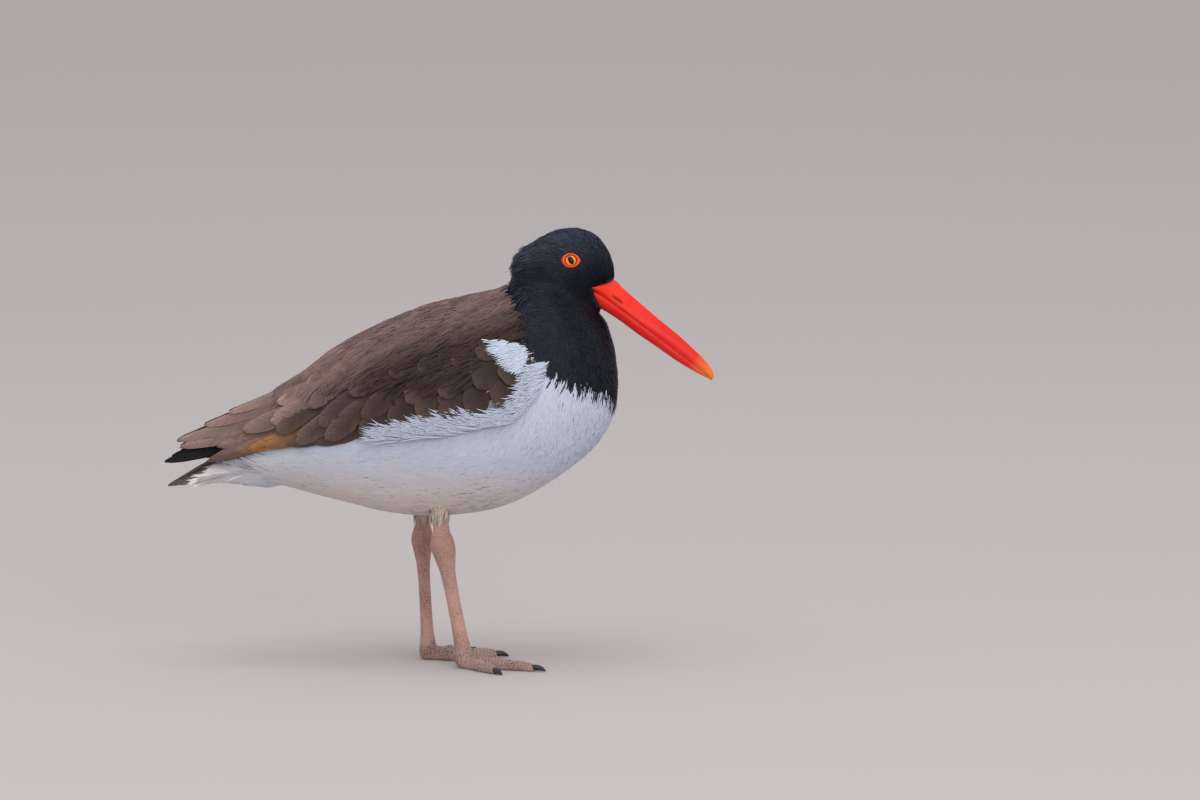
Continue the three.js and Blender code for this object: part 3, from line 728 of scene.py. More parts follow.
# Painted light on the black by height (z): darker on the cheeks and lighter on the crown, where the light
# from above falls; and how much a painted sheen lightens the back of the neck
BLACK_PAINTED_LIGHT = ([175, 205, 234, 244, 256], [0.6, 0.52, 0.38, 0.85, 2.1])
NAPE_PAINTED_SHEEN = 2.2
NAPE_SHEEN_SPAN = (62, 48)
NAPE_SHEEN_LOWEST = 215
for coat, layers, where, shape, depth, seed in COATS:
    draw = np.random.default_rng(seed)
    roots, normals = scatter(draw, layers, where & ~bare_face)
    x, _, z = roots.T
    count = len(roots)
    colours = markings(roots, draw.normal(0, 2, count))
    pale = colours[:, 0] > 0.4
    length = tuft_length(roots) * draw.uniform(0.75, 1.25, count) * np.where(pale, *LENGTHENED)
    width = tuft_width(length) * np.where(pale, *SLIMMED)
    rise = depth * np.where(pale, draw.uniform(0.82, 0.95, count), draw.uniform(0.45, 1.05, count))
    rise = rise + np.where((x < NAPE[0]) & (z > NAPE[1]), NAPE_TOUSLE * draw.random(count) ** 5, 0)
    border = fade(np.abs(z - np.interp(x, *BIB)), BIB_BORDER, 0) * (x > BIB_REAR)
    cape = fade(x - np.interp(z, *BACK_EDGE), CAPE_BORDER, 0) * (z > CAPE_LOWEST) * ~pale
    rear = fade(x, *REAR_SPAN)
    rise = (rise * np.where(pale, 1 - 0.4 * border, 1 + 0.3 * border) + CAPE_RISE * cape) * (1 - 0.5 * rear)
    tousled = np.where(pale, 1 - 0.3 * border, 1 + draw.uniform(0, 0.6, count) * border)
    length = length * (1 - 0.6 * rear) * tousled + CAPE_LENGTH * cape
    curve = np.interp(from_bill(roots), *CURVES) * np.where(pale, *BENT)
    locks = 0.3 * waves(roots / 2.2) + 0.25 * waves(roots[:, [2, 0, 1]] / 4)
    # Painted light and sheen on the black tufts, on top of their own uneven tones.
    shaded = np.interp(z, *BLACK_PAINTED_LIGHT) * (1 + NAPE_PAINTED_SHEEN * fade(x, *NAPE_SHEEN_SPAN) * (z > NAPE_SHEEN_LOWEST))
    streaked_with_painted_light = varied(draw, colours, UNEVEN_TONE[1]) * (shaded * np.exp(locks))[:, None]
    colours = np.where(pale[:, None], varied(draw, colours, UNEVEN_TONE[0]), streaked_with_painted_light)
    piece = tufts(
        coat, draw, shape, roots, normals, lie(roots, normals), length, width, rise, curve, colours,
        dark=np.where(pale, *ROOT_SHADE), soft=np.where(pale, *SOFTNESS),
        bow=np.where(pale, 0.3 + 0.5 * border, 0.7),
    )
    if pale.mean() > 0.5:
        dress(piece, plumage, "white_feathers")
    else:
        dress(piece, glossy_black, "black_feathers")


# Wing and back feathers: each a thin vane on a raised shaft, tucked under the row above it. The rows run
# from the long black flight feathers at the bottom up to the soft shoulder feathers, then the back.
VANE_ACROSS = np.array([-1, -0.85, -0.6, -0.32, -0.06, 0, 0.06, 0.32, 0.6, 0.85, 1])
VANE_THICKNESS = 0.3
TILT = 0.45
CAMBER = 0.25
SHAFT_HALF = 0.05
SHAFT_HEIGHT = 0.28
NOTCHES = {"shallow": 0.07, "deep": 0.22, "rarity": 0.93}
RIM_SPAN = (0.35, 1)
TIP_SPAN = (0.72, 1)
BARB_UNIT = 100
OWN_STREAKS = 40
CELL_MARGIN = 0.08
# Outlines: half width against the widest, by the share of the length
ROUND = ([0, 0.3, 0.6, 0.82, 0.93, 0.98, 1], [0.45, 0.85, 1.0, 0.88, 0.6, 0.32, 0.08])
LONG = ([0, 0.3, 0.66, 0.85, 0.94, 0.98, 1], [0.5, 0.9, 1.0, 0.8, 0.5, 0.28, 0.06])
SOFT = ([0, 0.3, 0.55, 0.75, 0.88, 0.96, 1], [0.45, 0.85, 1.0, 0.92, 0.7, 0.4, 0.08])
DUSK = np.array([0.031, 0.0172, 0.0132])
FAWN = np.array([0.22, 0.136, 0.118])
TAN = np.array([0.30, 0.13, 0.035])
SOOT = np.array([0.010, 0.009, 0.010])


def bell(value, middle, width):
    """1 at the middle, falling off softly within about twice the width."""
    return np.exp(-((value - middle) / width) ** 2)


def feather(draw, top, under, tones, run, reach, across, share):
    """Closed vane, with the colours, barb places and bake places of both its faces. run and reach are the
    distances along it and across it, share and across the same against its length and half width."""
    places = np.broadcast_arrays(run / BARB_UNIT, 0.5 + reach / BARB_UNIT, draw.random())
    patch = np.broadcast_arrays((across + 1) / 2, share)
    grids = (tones, np.stack(places, -1), np.stack(patch, -1))
    return closed(top, under), *(np.concatenate([grid.reshape(-1, grid.shape[-1])] * 2) for grid in grids)


def vane(draw, start, end, side, half, lift, outline, colour, bend, stations, fringe):
    """One feather from start to end on the folded surface."""
    share = np.linspace(0, 1, stations)[:, None] ** 0.9
    middle = start + (end - start) * share
    cross = np.cross(outward(FOLDED, *locate(FOLDED, middle)), unit(end - start)) * -side
    middle = middle + cross * (4 * bend * share * (1 - share))
    across = np.tile(VANE_ACROSS, (stations, 1))
    deep = draw.uniform(0, NOTCHES["shallow"], (stations, 2))
    deep = deep + NOTCHES["deep"] * (draw.random((stations, 2)) > NOTCHES["rarity"])
    across[:, [0, -1]] += deep * (1, -1)
    reach = across * (half * np.interp(share, *outline))
    s, angle = locate(FOLDED, middle[:, None] + cross[:, None] * reach[..., None])
    height = between(lift, share) - TILT * across - CAMBER * across ** 2
    height = height + draw.normal(0, 0.05, (stations, 1))
    shaft = bell(across, 0, SHAFT_HALF) * (1 - 0.8 * share)
    top = surface(FOLDED, s, angle, height + SHAFT_HEIGHT * shaft)
    under = surface(FOLDED, s, angle, height - VANE_THICKNESS * (1 - 0.6 * np.abs(across)))
    pale = fringe * np.maximum(fade(np.abs(across), *RIM_SPAN), fade(share, *TIP_SPAN)) ** 1.3
    # Painted light and shade: each feather darker towards its root, in the shade of the row over it, lighter
    # towards its tip and on one side; the shaft is darker in its own colour.
    painted_shade_and_shaft = (0.72 + 0.42 * share ** 2) * (1 + 0.16 * across * side) * (1 - 0.35 * shaft)
    tones = colour * ((1 + pale) * painted_shade_and_shaft)[..., None]
    return feather(draw, top, under, tones, share * np.linalg.norm(end - start), reach, VANE_ACROSS, share)


def plumes(name, feathers):
    """Piece of many feathers, each with its own cell of the bake."""
    forms, tones, barbs, patches = zip(*feathers)
    piece = piece_of(name, *joined(forms))
    paint(piece, "tone", np.concatenate(tones))
    paint(piece, "barbs", np.concatenate(barbs))
    cells = math.ceil(math.sqrt(len(feathers)))
    lay_out(piece, np.concatenate([
        (np.array([k % cells, k // cells]) + CELL_MARGIN + (1 - 2 * CELL_MARGIN) * patch) / cells
        for k, patch in enumerate(patches)
    ]))
    return piece


def on_folded(point, side, clear):
    """Place on the folded surface of a point of the side view, kept off the middle line."""
    s, angle = from_side(FOLDED, point, 1)
    width = section(FOLDED, s)[4]
    return surface(FOLDED, s, side * max(angle, math.asin(min(1, clear / max(width, clear)))))


def along_line(line, share):
    """Points of a line at shares of its way, which is counted from corner to corner."""
    place = share * (len(line) - 1)
    return np.stack([np.interp(place, range(len(line)), values) for values in zip(*line)], -1)


# Depths below the line of the back where the wing is dark and pale, where it pales to the rear (x), and
# the shares of the pale brown: least, near the back and at the rear
DARK_BELOW = (24, 7)
PALE_REAR = (-30, -110)
PALE_SHARES = (0.06, 0.72, 0.36)


def wing_tone(x, z):
    """Brown of the wing by the place of a feather's tip: dark on the wing, paler on the back and the rear."""
    depth = np.interp(x, FOLDED[:, 0], FOLDED[:, 1]) - z
    least, above, behind = PALE_SHARES
    share = least + above * fade(depth, *DARK_BELOW) + behind * fade(x, *PALE_REAR)
    return between((DUSK, FAWN), np.clip(share, 0, 1)[..., None])


# Rows of covert and shoulder feathers. Pairs hold for the front and the rear: half width, lean below
# level in degrees, length. lift is that of root and tip, front the outline of the foremost feathers.
ROWS = [
    {"count": 8, "half": (10.5, 6.5), "lean": (82, 36), "length": (36, 42), "lift": (-2.8, 0.1),
     "front": ROUND, "fringe": 0.7,
     "tips": [(38, 161), (17, 155.5), (-1, 154), (-19, 151), (-40, 145), (-62, 139.5), (-86, 138)]},
    {"count": 7, "half": (10, 6.5), "lean": (64, 34), "length": (36, 44), "lift": (-2.7, 0.4),
     "front": ROUND, "fringe": 0.7,
     "tips": [(40, 174.5), (18, 170), (-8, 166.5), (-36, 158), (-66, 149), (-98, 143)]},
    {"count": 7, "half": (9.5, 7), "lean": (48, 32), "length": (38, 46), "lift": (-2.6, 0.65),
     "front": SOFT, "fringe": 0.35,
     "tips": [(26, 189), (0, 184), (-28, 176.5), (-60, 164.5), (-103, 150)]},
    {"count": 6, "half": (9, 7), "lean": (40, 31), "length": (38, 46), "lift": (-2.6, 0.6),
     "front": SOFT, "fringe": 0.35,
     "tips": [(10, 201), (-16, 195), (-44, 186.5), (-74, 172), (-100, 158.5)]},
    {"count": 5, "half": (8.5, 7), "lean": (34, 31), "length": (36, 42), "lift": (-2.6, 0.5),
     "front": SOFT, "fringe": 0.35, "tips": [(-6, 209.5), (-30, 202), (-54, 191.5), (-78, 178)]},
]
FRONT_SHARE = 0.6
REARWARD_LIFT = 0.3
# Foremost place of a root (x), for feathers with their tips below and above a height
FRONT_ROOTS = (52, 45)
SHOULDER_TIPS = 178
SECONDARIES = {
    "count": 7, "half": 5.5, "lift": (-3.6, -2.2), "roots": [(-28, 155), (-52, 164)],
    "tips": [(-76, 137.5), (-107, 133.8), (-126, 129), (-141, 122.5)],
}
TAN_SPOT = (-114, 12)
# Black wing tips that stand nearly upright side by side: tip (x, z) of each
PRIMARY_ROOT = (-96, 139)
PRIMARY_TIPS = [(-165.5, 122.4), (-161, 126), (-156, 129)]
PRIMARY_HALF = 3.1
PRIMARY_OFF_MIDDLE = (7.5, 2.7)
PRIMARY_STEP = 0.7
PRIMARY_HOLLOW = 0.35
PRIMARY_THICKNESS = 0.25
PRIMARY_LENGTH = 70
# Long inner feathers: root, tip, half width, lift of root and tip
TERTIALS = [
    ((-46, 160), (-134, 133), 5.5, (-3.3, -1.6)),
    ((-46, 164), (-156.5, 131.5), 5.4, (-3.1, -0.6)),
    ((-52, 174), (-158, 137), 5.6, (-2.5, 0.3)),
    ((-56, 170), (-118, 143), 7.0, (-2.4, 0.8)),
    ((-60, 180), (-141, 144), 6.6, (-2.3, 1.2)),
    ((-66, 186), (-126, 151), 7.0, (-2.2, 1.8)),
]

vanes = Finish("vanes", {"Roughness": 0.6, "Specular IOR Level": 0.24, "Sheen Weight": 0.03})
run, aside, own = vanes.parts(vanes.kept("barbs"))
along_mm = run * BARB_UNIT
across_mm = (aside - 0.5) * BARB_UNIT
own = own * OWN_STREAKS
slant = along_mm - abs(across_mm) * 1.1
streaks = vanes.noise(vanes.joint(slant, across_mm * 0.16, own), 0.75, 4.0)
barb_lines = (slant * 7.0).sine()
tone = vanes.kept("tone")
grey = streaks * 1.5 + 0.22
vanes.set("Base Color", vanes.mix(0.75, tone, vanes.joint(grey, grey, grey), "MULTIPLY"))
vanes.set("Roughness", 0.5 + streaks * 0.25)
vanes.bump(streaks * 0.8 + barb_lines * 0.1, 0.35)


def primary(draw, tip, side, order):
    """Upright flight feather of the wing tip, each a little further in than the one before."""
    share = np.linspace(0, 1, 20)[:, None]
    way = unit(np.array([tip[0] - PRIMARY_ROOT[0], 0, tip[1] - PRIMARY_ROOT[1]]))
    up = np.array([way[2], 0, -way[0]])
    across = np.tile(VANE_ACROSS, (20, 1))
    reach = across * (PRIMARY_HALF * np.interp(share, *LONG))
    off = between(PRIMARY_OFF_MIDDLE, share) - PRIMARY_STEP * order + PRIMARY_HOLLOW * np.abs(across)
    x, z = (between((PRIMARY_ROOT[k], tip[k]), share) for k in (0, 1))
    shaft = bell(across, 0, SHAFT_HALF) * (1 - 0.7 * share)
    outwards = np.array([0, side, 0]) * PRIMARY_THICKNESS
    spine = np.stack(np.broadcast_arrays(x, side * off, z), -1)
    top = spine + up * reach[..., None] + outwards * shaft[..., None]
    under = top - outwards * (1 + shaft)[..., None]
    tones = (SOOT * 0.7 + 0.008 * (1 - share)[..., None]) * (1 + 0.6 * shaft[..., None])
    return feather(draw, top, under, tones, share * PRIMARY_LENGTH, reach, across, share)


wing_draw = np.random.default_rng(5)


def one_tone(tip, spread):
    tone = wing_tone(*tip) * math.exp(wing_draw.normal(0, spread))
    return tone * (1 + wing_draw.normal(0, 0.02, 3))


def laid(side, root, tip, half, lift, outline, tone, bend, stations, fringe):
    start = on_folded(root, side, half)
    end = on_folded(tip, side, 0.6 * half)
    return vane(wing_draw, start, end, side, half, lift, outline, tone, bend, stations, fringe)


for name, side in (("right", -1), ("left", 1)):
    feathers = [primary(wing_draw, tip, side, order) for order, tip in enumerate(PRIMARY_TIPS)]
    for k in range(SECONDARIES["count"]):
        share = k / (SECONDARIES["count"] - 1)
        root = along_line(SECONDARIES["roots"], share)
        tip = along_line(SECONDARIES["tips"], share)
        tone = one_tone(tip, 0.08)
        tone = tone + (TAN - tone) * 0.8 * bell(tip[0], *TAN_SPOT)
        lift = [value + REARWARD_LIFT * share for value in SECONDARIES["lift"]]
        feathers.append(laid(side, root, tip, SECONDARIES["half"], lift, LONG, tone, 0.5, 16, 0.3))
    for row in ROWS:
        for k in range(row["count"]):
            share = min(max((k + wing_draw.uniform(-0.12, 0.12)) / (row["count"] - 1), 0), 1)
            tip = along_line(row["tips"], share) + wing_draw.normal(0, 0.9, 2)
            lean = math.radians(between(row["lean"], share) + wing_draw.normal(0, 3))
            length = between(row["length"], share) * wing_draw.uniform(0.93, 1.07)
            front = FRONT_ROOTS[0] if tip[1] < SHOULDER_TIPS else FRONT_ROOTS[1]
            length = min(length, (front - tip[0]) / math.cos(lean))
            root = tip + length * np.array([math.cos(lean), math.sin(lean)])
            half = between(row["half"], share) * wing_draw.uniform(0.94, 1.06)
            lift = [value + REARWARD_LIFT * share for value in row["lift"]]
            lift[1] += wing_draw.uniform(-0.15, 0.2)
            outline = row["front"] if share < FRONT_SHARE else SOFT
            tone = one_tone(tip, 0.12)
            bend = wing_draw.uniform(-1, 1)
            feathers.append(laid(side, root, tip, half, lift, outline, tone, bend, 18, row["fringe"]))
    for root, tip, half, lift in TERTIALS:
        tone = one_tone(tip, 0.07)
        feathers.append(laid(side, root, tip, half, lift, LONG, tone, wing_draw.uniform(-1, 1), 22, 0.35))
    dress(plumes(f"wing_{name}_feathers", feathers), vanes, "brown_feathers", f"wing_{name}")

# Back between the wings: shorter feathers in rows from the nape to where the wings meet. Pairs hold for
# the first row and the last: station, reach to each side in degrees, half width and length.
BACK_ROWS = 15
BACK_SPAN = (11.5, 7.4)
BACK_REACH = (34, 3)
BACK_HALF = (4.6, 7)
BACK_LENGTH = (11, 20)
BACK_LIFT = (-2.2, 0.1)
OVERLAP = 1.05
back_feathers = []
for row in range(BACK_ROWS):
    share = row / (BACK_ROWS - 1)
    s = between(BACK_SPAN, share)
    reach = math.radians(between(BACK_REACH, share ** 1.1))
    half = between(BACK_HALF, share)
    count = max(1, int(2 * reach * section(FOLDED, s)[4] / (half * OVERLAP)))
    for k in range(count):
        angle = reach * ((2 * k + 1 + row % 2 * 0.6) / count - 1)
        length = between(BACK_LENGTH, share) * wing_draw.uniform(0.9, 1.1)
        root = surface(FOLDED, s, angle)
        ahead = surface(FOLDED, s - 0.2, angle * 0.99)
        tip = root + unit(ahead - root) * length + np.array([0, wing_draw.normal(0, 0.5), 0])
        tone = one_tone(tip[[0, 2]], 0.06)
        side = -1 if angle < 0 else 1
        back_feathers.append(vane(wing_draw, root, tip, side, half, BACK_LIFT, SOFT, tone, 0, 11, 0.12))
dress(plumes("back_feathers", back_feathers), vanes, "brown_feathers")

# Loose barbs over the back and shoulders, which soften the edges of the feathers under them: stations
# and reach to each side in degrees, and how many stay towards the sides
DOWN_COUNT = 17000
DOWN_REACH = ((5.6, 7, 9, 11, 12.1), (28, 50, 70, 64, 52))
DOWN_THINNED = ([32, 50, 70], [1, 0.55, 0.12])
DOWN_SLOPE = 33
SHOULDER_PATCH = (27, 203)
TONE_AHEAD = (8, 4)


def banded(x, z):
    """Slow light and dark bands along the lie of the barbs."""
    lean = math.radians(DOWN_SLOPE)
    along = -x * math.cos(lean) - z * math.sin(lean)
    athwart = z * math.cos(lean) - x * math.sin(lean)
    broad = 0.16 * np.sin(athwart * 0.75 + 1.6 * np.sin(along * 0.1))
    return np.exp(broad + 0.12 * np.sin(athwart * 1.7 + 2 * np.sin(along * 0.17 + 1)))


down_draw = np.random.default_rng(61)
s = down_draw.uniform(DOWN_REACH[0][0], DOWN_REACH[0][-1], DOWN_COUNT)
angle = down_draw.uniform(-1, 1, DOWN_COUNT) * np.radians(np.interp(s, *DOWN_REACH))
kept = down_draw.random(DOWN_COUNT) < np.interp(np.degrees(np.abs(angle)), *DOWN_THINNED)
s, angle = s[kept], angle[kept]
count = len(s)
roots = surface(FOLDED, s, angle, down_draw.uniform(-0.3, 0.7, count))
normals = outward(FOLDED, s, angle)
slope = np.radians(down_draw.normal(DOWN_SLOPE, 5, count))
way = along_surface(np.stack([-np.cos(slope), 0 * slope, -np.sin(slope)], -1), normals)
length = down_draw.uniform(11, 19, count)
x, _, z = roots.T
kept = x < np.interp(z, *BACK_EDGE) + 1 + down_draw.normal(0, 3, count)
kept &= (x <= SHOULDER_PATCH[0]) | (z >= SHOULDER_PATCH[1])
tones = varied(down_draw, wing_tone(x - TONE_AHEAD[0], z - TONE_AHEAD[1]), 0.06) * banded(x, z)[:, None]
length = length[kept]
coat = tufts(
    "coat_back", down_draw, FOLDED, roots[kept], normals[kept], way[kept], length, tuft_width(length, 0.05),
    down_draw.uniform(0.5, 0.95, len(length)), 0.012, tones[kept], dark=0.08, soft=0.9, bow=0.35,
)
brown_down = feathery("brown down", {"Roughness": 0.7, "Specular IOR Level": 0.16}, mottling=0.3)
dress(coat, brown_down, "brown_feathers")

# White shoulder patch, and the breast feathers that overlap the front and the lower edge of the wing.
# Along the edge: rise of the way they lie, and length against the usual.
PATCH_COUNT = 2200
PATCH_HEIGHTS = (183, 199)
EDGE_COUNT = 2600
EDGE_LINE = [(54, 187), (51, 173), (38, 159.5), (10, 156), (-6, 153.5), (-24, 149)]
EDGE_MIDDLE = np.array([5, 182])
EDGE_RISING = ([0, 0.35, 0.5, 1], [-0.5, -0.2, 0.25, 0.1])
EDGE_LENGTHS = ([0, 0.35, 0.5], [0.65, 0.8, 1])
EDGE_DEPTH = 1.2
CURVE = 0.012


def beside(rows, flat, hand, lift):
    """Points and normals on a form's right (-1) or left (1) side at points (x, z) of the side view."""
    s, angle = from_side(rows, flat, hand)
    return surface(rows, s, angle, lift), outward(rows, s, angle)


patch_draw = np.random.default_rng(62)
z = patch_draw.uniform(*PATCH_HEIGHTS, PATCH_COUNT) + patch_draw.normal(0, 0.7, PATCH_COUNT)
inner = 36 + (198 - z) * 1.1
outer = 56 - 0.08 * (z - 190) ** 2 + patch_draw.normal(0, 0.8, PATCH_COUNT)
x = inner + patch_draw.random(PATCH_COUNT) * (outer - inner)
share = patch_draw.random(EDGE_COUNT)
edge = along_line(EDGE_LINE, share)
edge = edge + unit(edge - EDGE_MIDDLE) * patch_draw.uniform(3, 12, EDGE_COUNT)[:, None]
sink = patch_draw.uniform(-0.6, 0.4, PATCH_COUNT) - 0.28 * np.clip(x - 44, 0, 20)
count = PATCH_COUNT + EDGE_COUNT
on_patch = np.arange(count) < PATCH_COUNT
hand = np.where(patch_draw.random(count) < 0.5, -1, 1)
reach = np.concatenate([np.ones(PATCH_COUNT), np.interp(share, *EDGE_LENGTHS)])
length = np.where(on_patch, patch_draw.uniform(7, 12, count), patch_draw.uniform(12, 20, count) * reach)
patch_roots, patch_normals = beside(FOLDED, np.stack([x, z], -1), hand[on_patch], sink)
edge_roots, edge_normals = beside(BODY, edge, hand[~on_patch], -EDGE_DEPTH)
roots = np.concatenate([patch_roots, edge_roots])
normals = np.concatenate([patch_normals, edge_normals])
rising = np.concatenate([-0.15 - (199 - z) / 16 * 0.6, np.interp(share, *EDGE_RISING)])
way = along_surface(np.stack([np.full(count, -1.0), np.zeros(count), rising], -1), normals)
tips = (roots + way * length[:, None])[~on_patch]
over_wing, _ = beside(FOLDED, tips[:, [0, 2]], hand[~on_patch], patch_draw.uniform(0.5, 1.1, EDGE_COUNT))
edge_rise = np.sum((over_wing - tips) * edge_normals, -1) + CURVE / 2 * length[~on_patch] ** 2
rise = np.concatenate([patch_draw.uniform(0.8, 1.5, PATCH_COUNT), np.clip(edge_rise, 1, 9)])
coat = tufts(
    "coat_shoulder", patch_draw, FOLDED, roots, normals, way, length, tuft_width(length, 0.045), rise, CURVE,
    varied(patch_draw, np.tile(WHITE, (count, 1)), UNEVEN_TONE[0]), dark=0.03, soft=0.94,
    bow=np.where(on_patch, 0.4, 0.8),
)
dress(coat, plumage, "white_feathers")


# Tail: twelve stiff feathers, closed, the middle pair on top, white at their base and dark brown at the
# end, with soft white coverts that lie over the base from above and below.
TAIL_ROOT = (-104, 118.5)
TAIL_TIP = (-163.5, 106.2)
TAIL_HALF = (8, 15)
TAIL_RIDGE = ([0, 0.3, 0.63, 1], [9.5, 9.5, 7.6, 1.2])
TAIL_ARCH = 3
TAIL_DARK = np.array([0.06, 0.04, 0.032])
RECTRICES = 12
RECTRIX_HALF = 6
RECTRIX_LENGTH = 60
RECTRIX_OUTLINE = ([0, 0.65, 0.85, 0.95, 1], [0.6, 1, 0.8, 0.45, 0.1])
RECTRIX_NOTCH = 0.06
# Shares of the length and of the width over which the feathers turn dark, pale at the end, and creamy
DARK_SPAN = (0.3, 0.44)
PALE_END = (0.9, 1)
CREAMY_SIDE = (0.5, 0.85)
CREAMY_END = (0.97, 0.77)


def tail_ridge(u, v):
    return np.interp(u, *TAIL_RIDGE) * (1 - np.minimum(np.abs(v), 1.05) ** 1.2)


def tail_point(u, v, lift):
    """Point of the closed tail at a share of its length and a place across it from -1 to 1."""
    x, z = (between(ends, u) for ends in zip(TAIL_ROOT, TAIL_TIP))
    arch = TAIL_ARCH * np.sin(np.pi * np.clip(u, 0, 1))
    return np.stack(np.broadcast_arrays(x, v * between(TAIL_HALF, u), z + tail_ridge(u, v) + arch + lift), -1)


def rectrix(draw, v):
    """One tail feather, which follows the roof of the tail; the middle ones lie on top."""
    share = np.linspace(0, 1, 18)[:, None] ** 0.9
    u = share * (1 - 0.22 * v * v)
    across = np.tile(VANE_ACROSS, (18, 1))
    across[:, 0] += draw.uniform(0, RECTRIX_NOTCH, 18)
    across[:, -1] -= draw.uniform(0, RECTRIX_NOTCH, 18)
    reach = across * (RECTRIX_HALF * np.interp(share, *RECTRIX_OUTLINE))
    place = v + reach / between(TAIL_HALF, u)
    shaft = bell(across, 0, SHAFT_HALF) * (1 - 0.7 * share)
    top = tail_point(u, place, 0.8 * (1 - abs(v)) + 0.25 * shaft - 0.35 * np.sign(v) * across)
    under = top - np.array([0, 0, 1]) * (0.3 * (1 - 0.5 * np.abs(across)) + 0.25 * shaft)[..., None]
    tones = between((WHITE * 0.9, TAIL_DARK), fade(share, *DARK_SPAN)[..., None])
    tones = tones * ((1 - 0.3 * shaft) * (1 + 0.4 * fade(share, *PALE_END)))[..., None]
    outermost = fade(np.abs(place), *CREAMY_SIDE) * fade(share, *CREAMY_END)
    tones = between((tones, CREAM * 0.5), outermost[..., None])
    return feather(draw, top, under, tones, share * RECTRIX_LENGTH, reach, across, share)


tail_draw = np.random.default_rng(12)
dress(plumes("tail_feathers", [
    rectrix(tail_draw, (2 * k + 1) / RECTRICES - 1 + tail_draw.uniform(-0.02, 0.02)) for k in range(RECTRICES)
]), vanes, "tail_feathers", "tail")

# Soft coverts, pairs for those below the tail and above it: reach to each side, length against the usual
COVERTS = 5200
COVERTS_BELOW = 0.7
COVERT_SPREAD = (1.3, 1.15)
COVERT_LENGTHS = (1, 1.2)
COVERT_DEPTH = ([-0.25, 0, 0.25, 0.45, 0.65, 0.8], [12, 11.5, 8.5, 3.8, 1.0, 0.3])
COVERT_FIRST = -0.25
TAIL_LENGTH = 62


def covert_point(u, v, below):
    """Surface of the tail coverts: close above, rounded below where they fill the wedge to the body."""
    depth = np.interp(u, *COVERT_DEPTH) * np.sqrt(np.clip(1 - (v / COVERT_SPREAD[0]) ** 2, 0, 1))
    return tail_point(u, v, np.where(below, -depth - tail_ridge(u, v), 0.5 + 0.1 * depth))


below = tail_draw.random(COVERTS) < COVERTS_BELOW
v = np.where(below, *COVERT_SPREAD) * np.sin(tail_draw.uniform(-np.pi / 2, np.pi / 2, COVERTS))
u = tail_draw.uniform(COVERT_FIRST, np.where(below, 0.5, 0.28 + 0.24 * np.abs(v)))
length = tail_draw.uniform(10, 15, COVERTS) * np.where(below, *COVERT_LENGTHS)
roots = covert_point(u, v, below)
normals = unit(np.stack([0 * u, v * 1.1, np.where(below, -1.0, 1.0)], -1))
way = unit(covert_point(u + length / TAIL_LENGTH, v, below) - roots)
# Painted warm light: the coverts turn cream towards the tail, standing in for light bounced up from the floor
# into their shade.
warm_bounce = np.clip(0.35 + u * 1.2, 0, 0.9)[:, None]
tones = varied(tail_draw, between((WHITE, CREAM), warm_bounce), UNEVEN_TONE[0])
coverts = tufts(
    "coat_tail_coverts", tail_draw, BODY, roots, normals, way, length, tuft_width(length, least=0.3),
    tail_draw.uniform(-0.1, 0.2, COVERTS), 0.001, tones, dark=0.05, soft=0.94, bow=0.3,
)
dress(coverts, plumage, "white_feathers")


# Bill: two horny sheaths over bone, the upper with a slit nostril in a groove on each side. It is
# laterally flattened towards the tip, where the horn turns from red to orange-yellow.
# Stations: distance along the bill, height of its outer edge, half width, fullness.
BILL_BASE = np.array([98.4, 223.7])
BILL_TIP = np.array([163.8, 173.5])
MOUTH = -1.2
MOUTH_GAP = -2.2
MOUTH_SHADE_WIDTH = 0.35
UPPER_MANDIBLE = [
    (-9, 2.5, 13.2, 1.2), (-5, 8.5, 11.8, 1.7), (0, 10.6, 8.9, 1.8), (8, 9.6, 6.8, 2), (20, 8.8, 5.3, 1.9),
    (34, 8, 4.4, 1.7), (50, 7.5, 3.7, 1.5), (64, 6.2, 3.1, 1.4), (74, 4.8, 2.5, 1.3), (80, 2.8, 1.9, 1.2),
    (83, 0.4, 1.1, 1),
]
LOWER_MANDIBLE = [
    (-6, -5.5, 10.4, 0.9), (0, -8.3, 8, 0.6), (8, -7.7, 6.3, 0.55), (18, -7, 5, 0.55), (30, -6.9, 4.3, 0.6),
    (44, -6.2, 3.8, 0.65), (58, -5.6, 3.2, 0.7), (69, -4.5, 2.6, 0.8), (78, -3, 1.8, 0.9), (81.5, -2, 1.1, 1),
]
NOSTRIL = {"middle": 8.25, "reach": 4.25, "height": 2.6, "depth": 1.3, "slit": 0.45, "slit_shade": 0.93}
# Grooves: height and half width, how deep, where they begin and end along the bill
GROOVE = {"line": (2.4, 1.1), "depth": 0.45, "begin": (-2, 4), "end": (44, 24)}
LOWER_GROOVE = {"line": (-4.6, 0.8), "depth": 0.25, "end": (50, 30)}
BILL_COLOURS = {
    0: (0.97, 0.034, 0.013), 14: (0.90, 0.018, 0.011), 40: (0.80, 0.009, 0.009), 66: (0.78, 0.010, 0.009),
    71: (0.86, 0.11, 0.016), 83: (0.92, 0.25, 0.028),
}
bill_along = unit(BILL_TIP - BILL_BASE)
bill_up = np.array([-bill_along[1], bill_along[0]])


def bill_rows(stations, upwards):
    """Rows of the upper (1) or lower (-1) half of the bill; inside, the two halves overlap."""
    mouth = MOUTH + upwards * MOUTH_GAP / 2
    rows = []
    for u, edge, width, full in stations:
        top, low = (BILL_BASE + bill_along * u + bill_up * pick(edge, mouth) for pick in (max, min))
        rows.append([*top, *low, width, full])
    return np.array(rows)


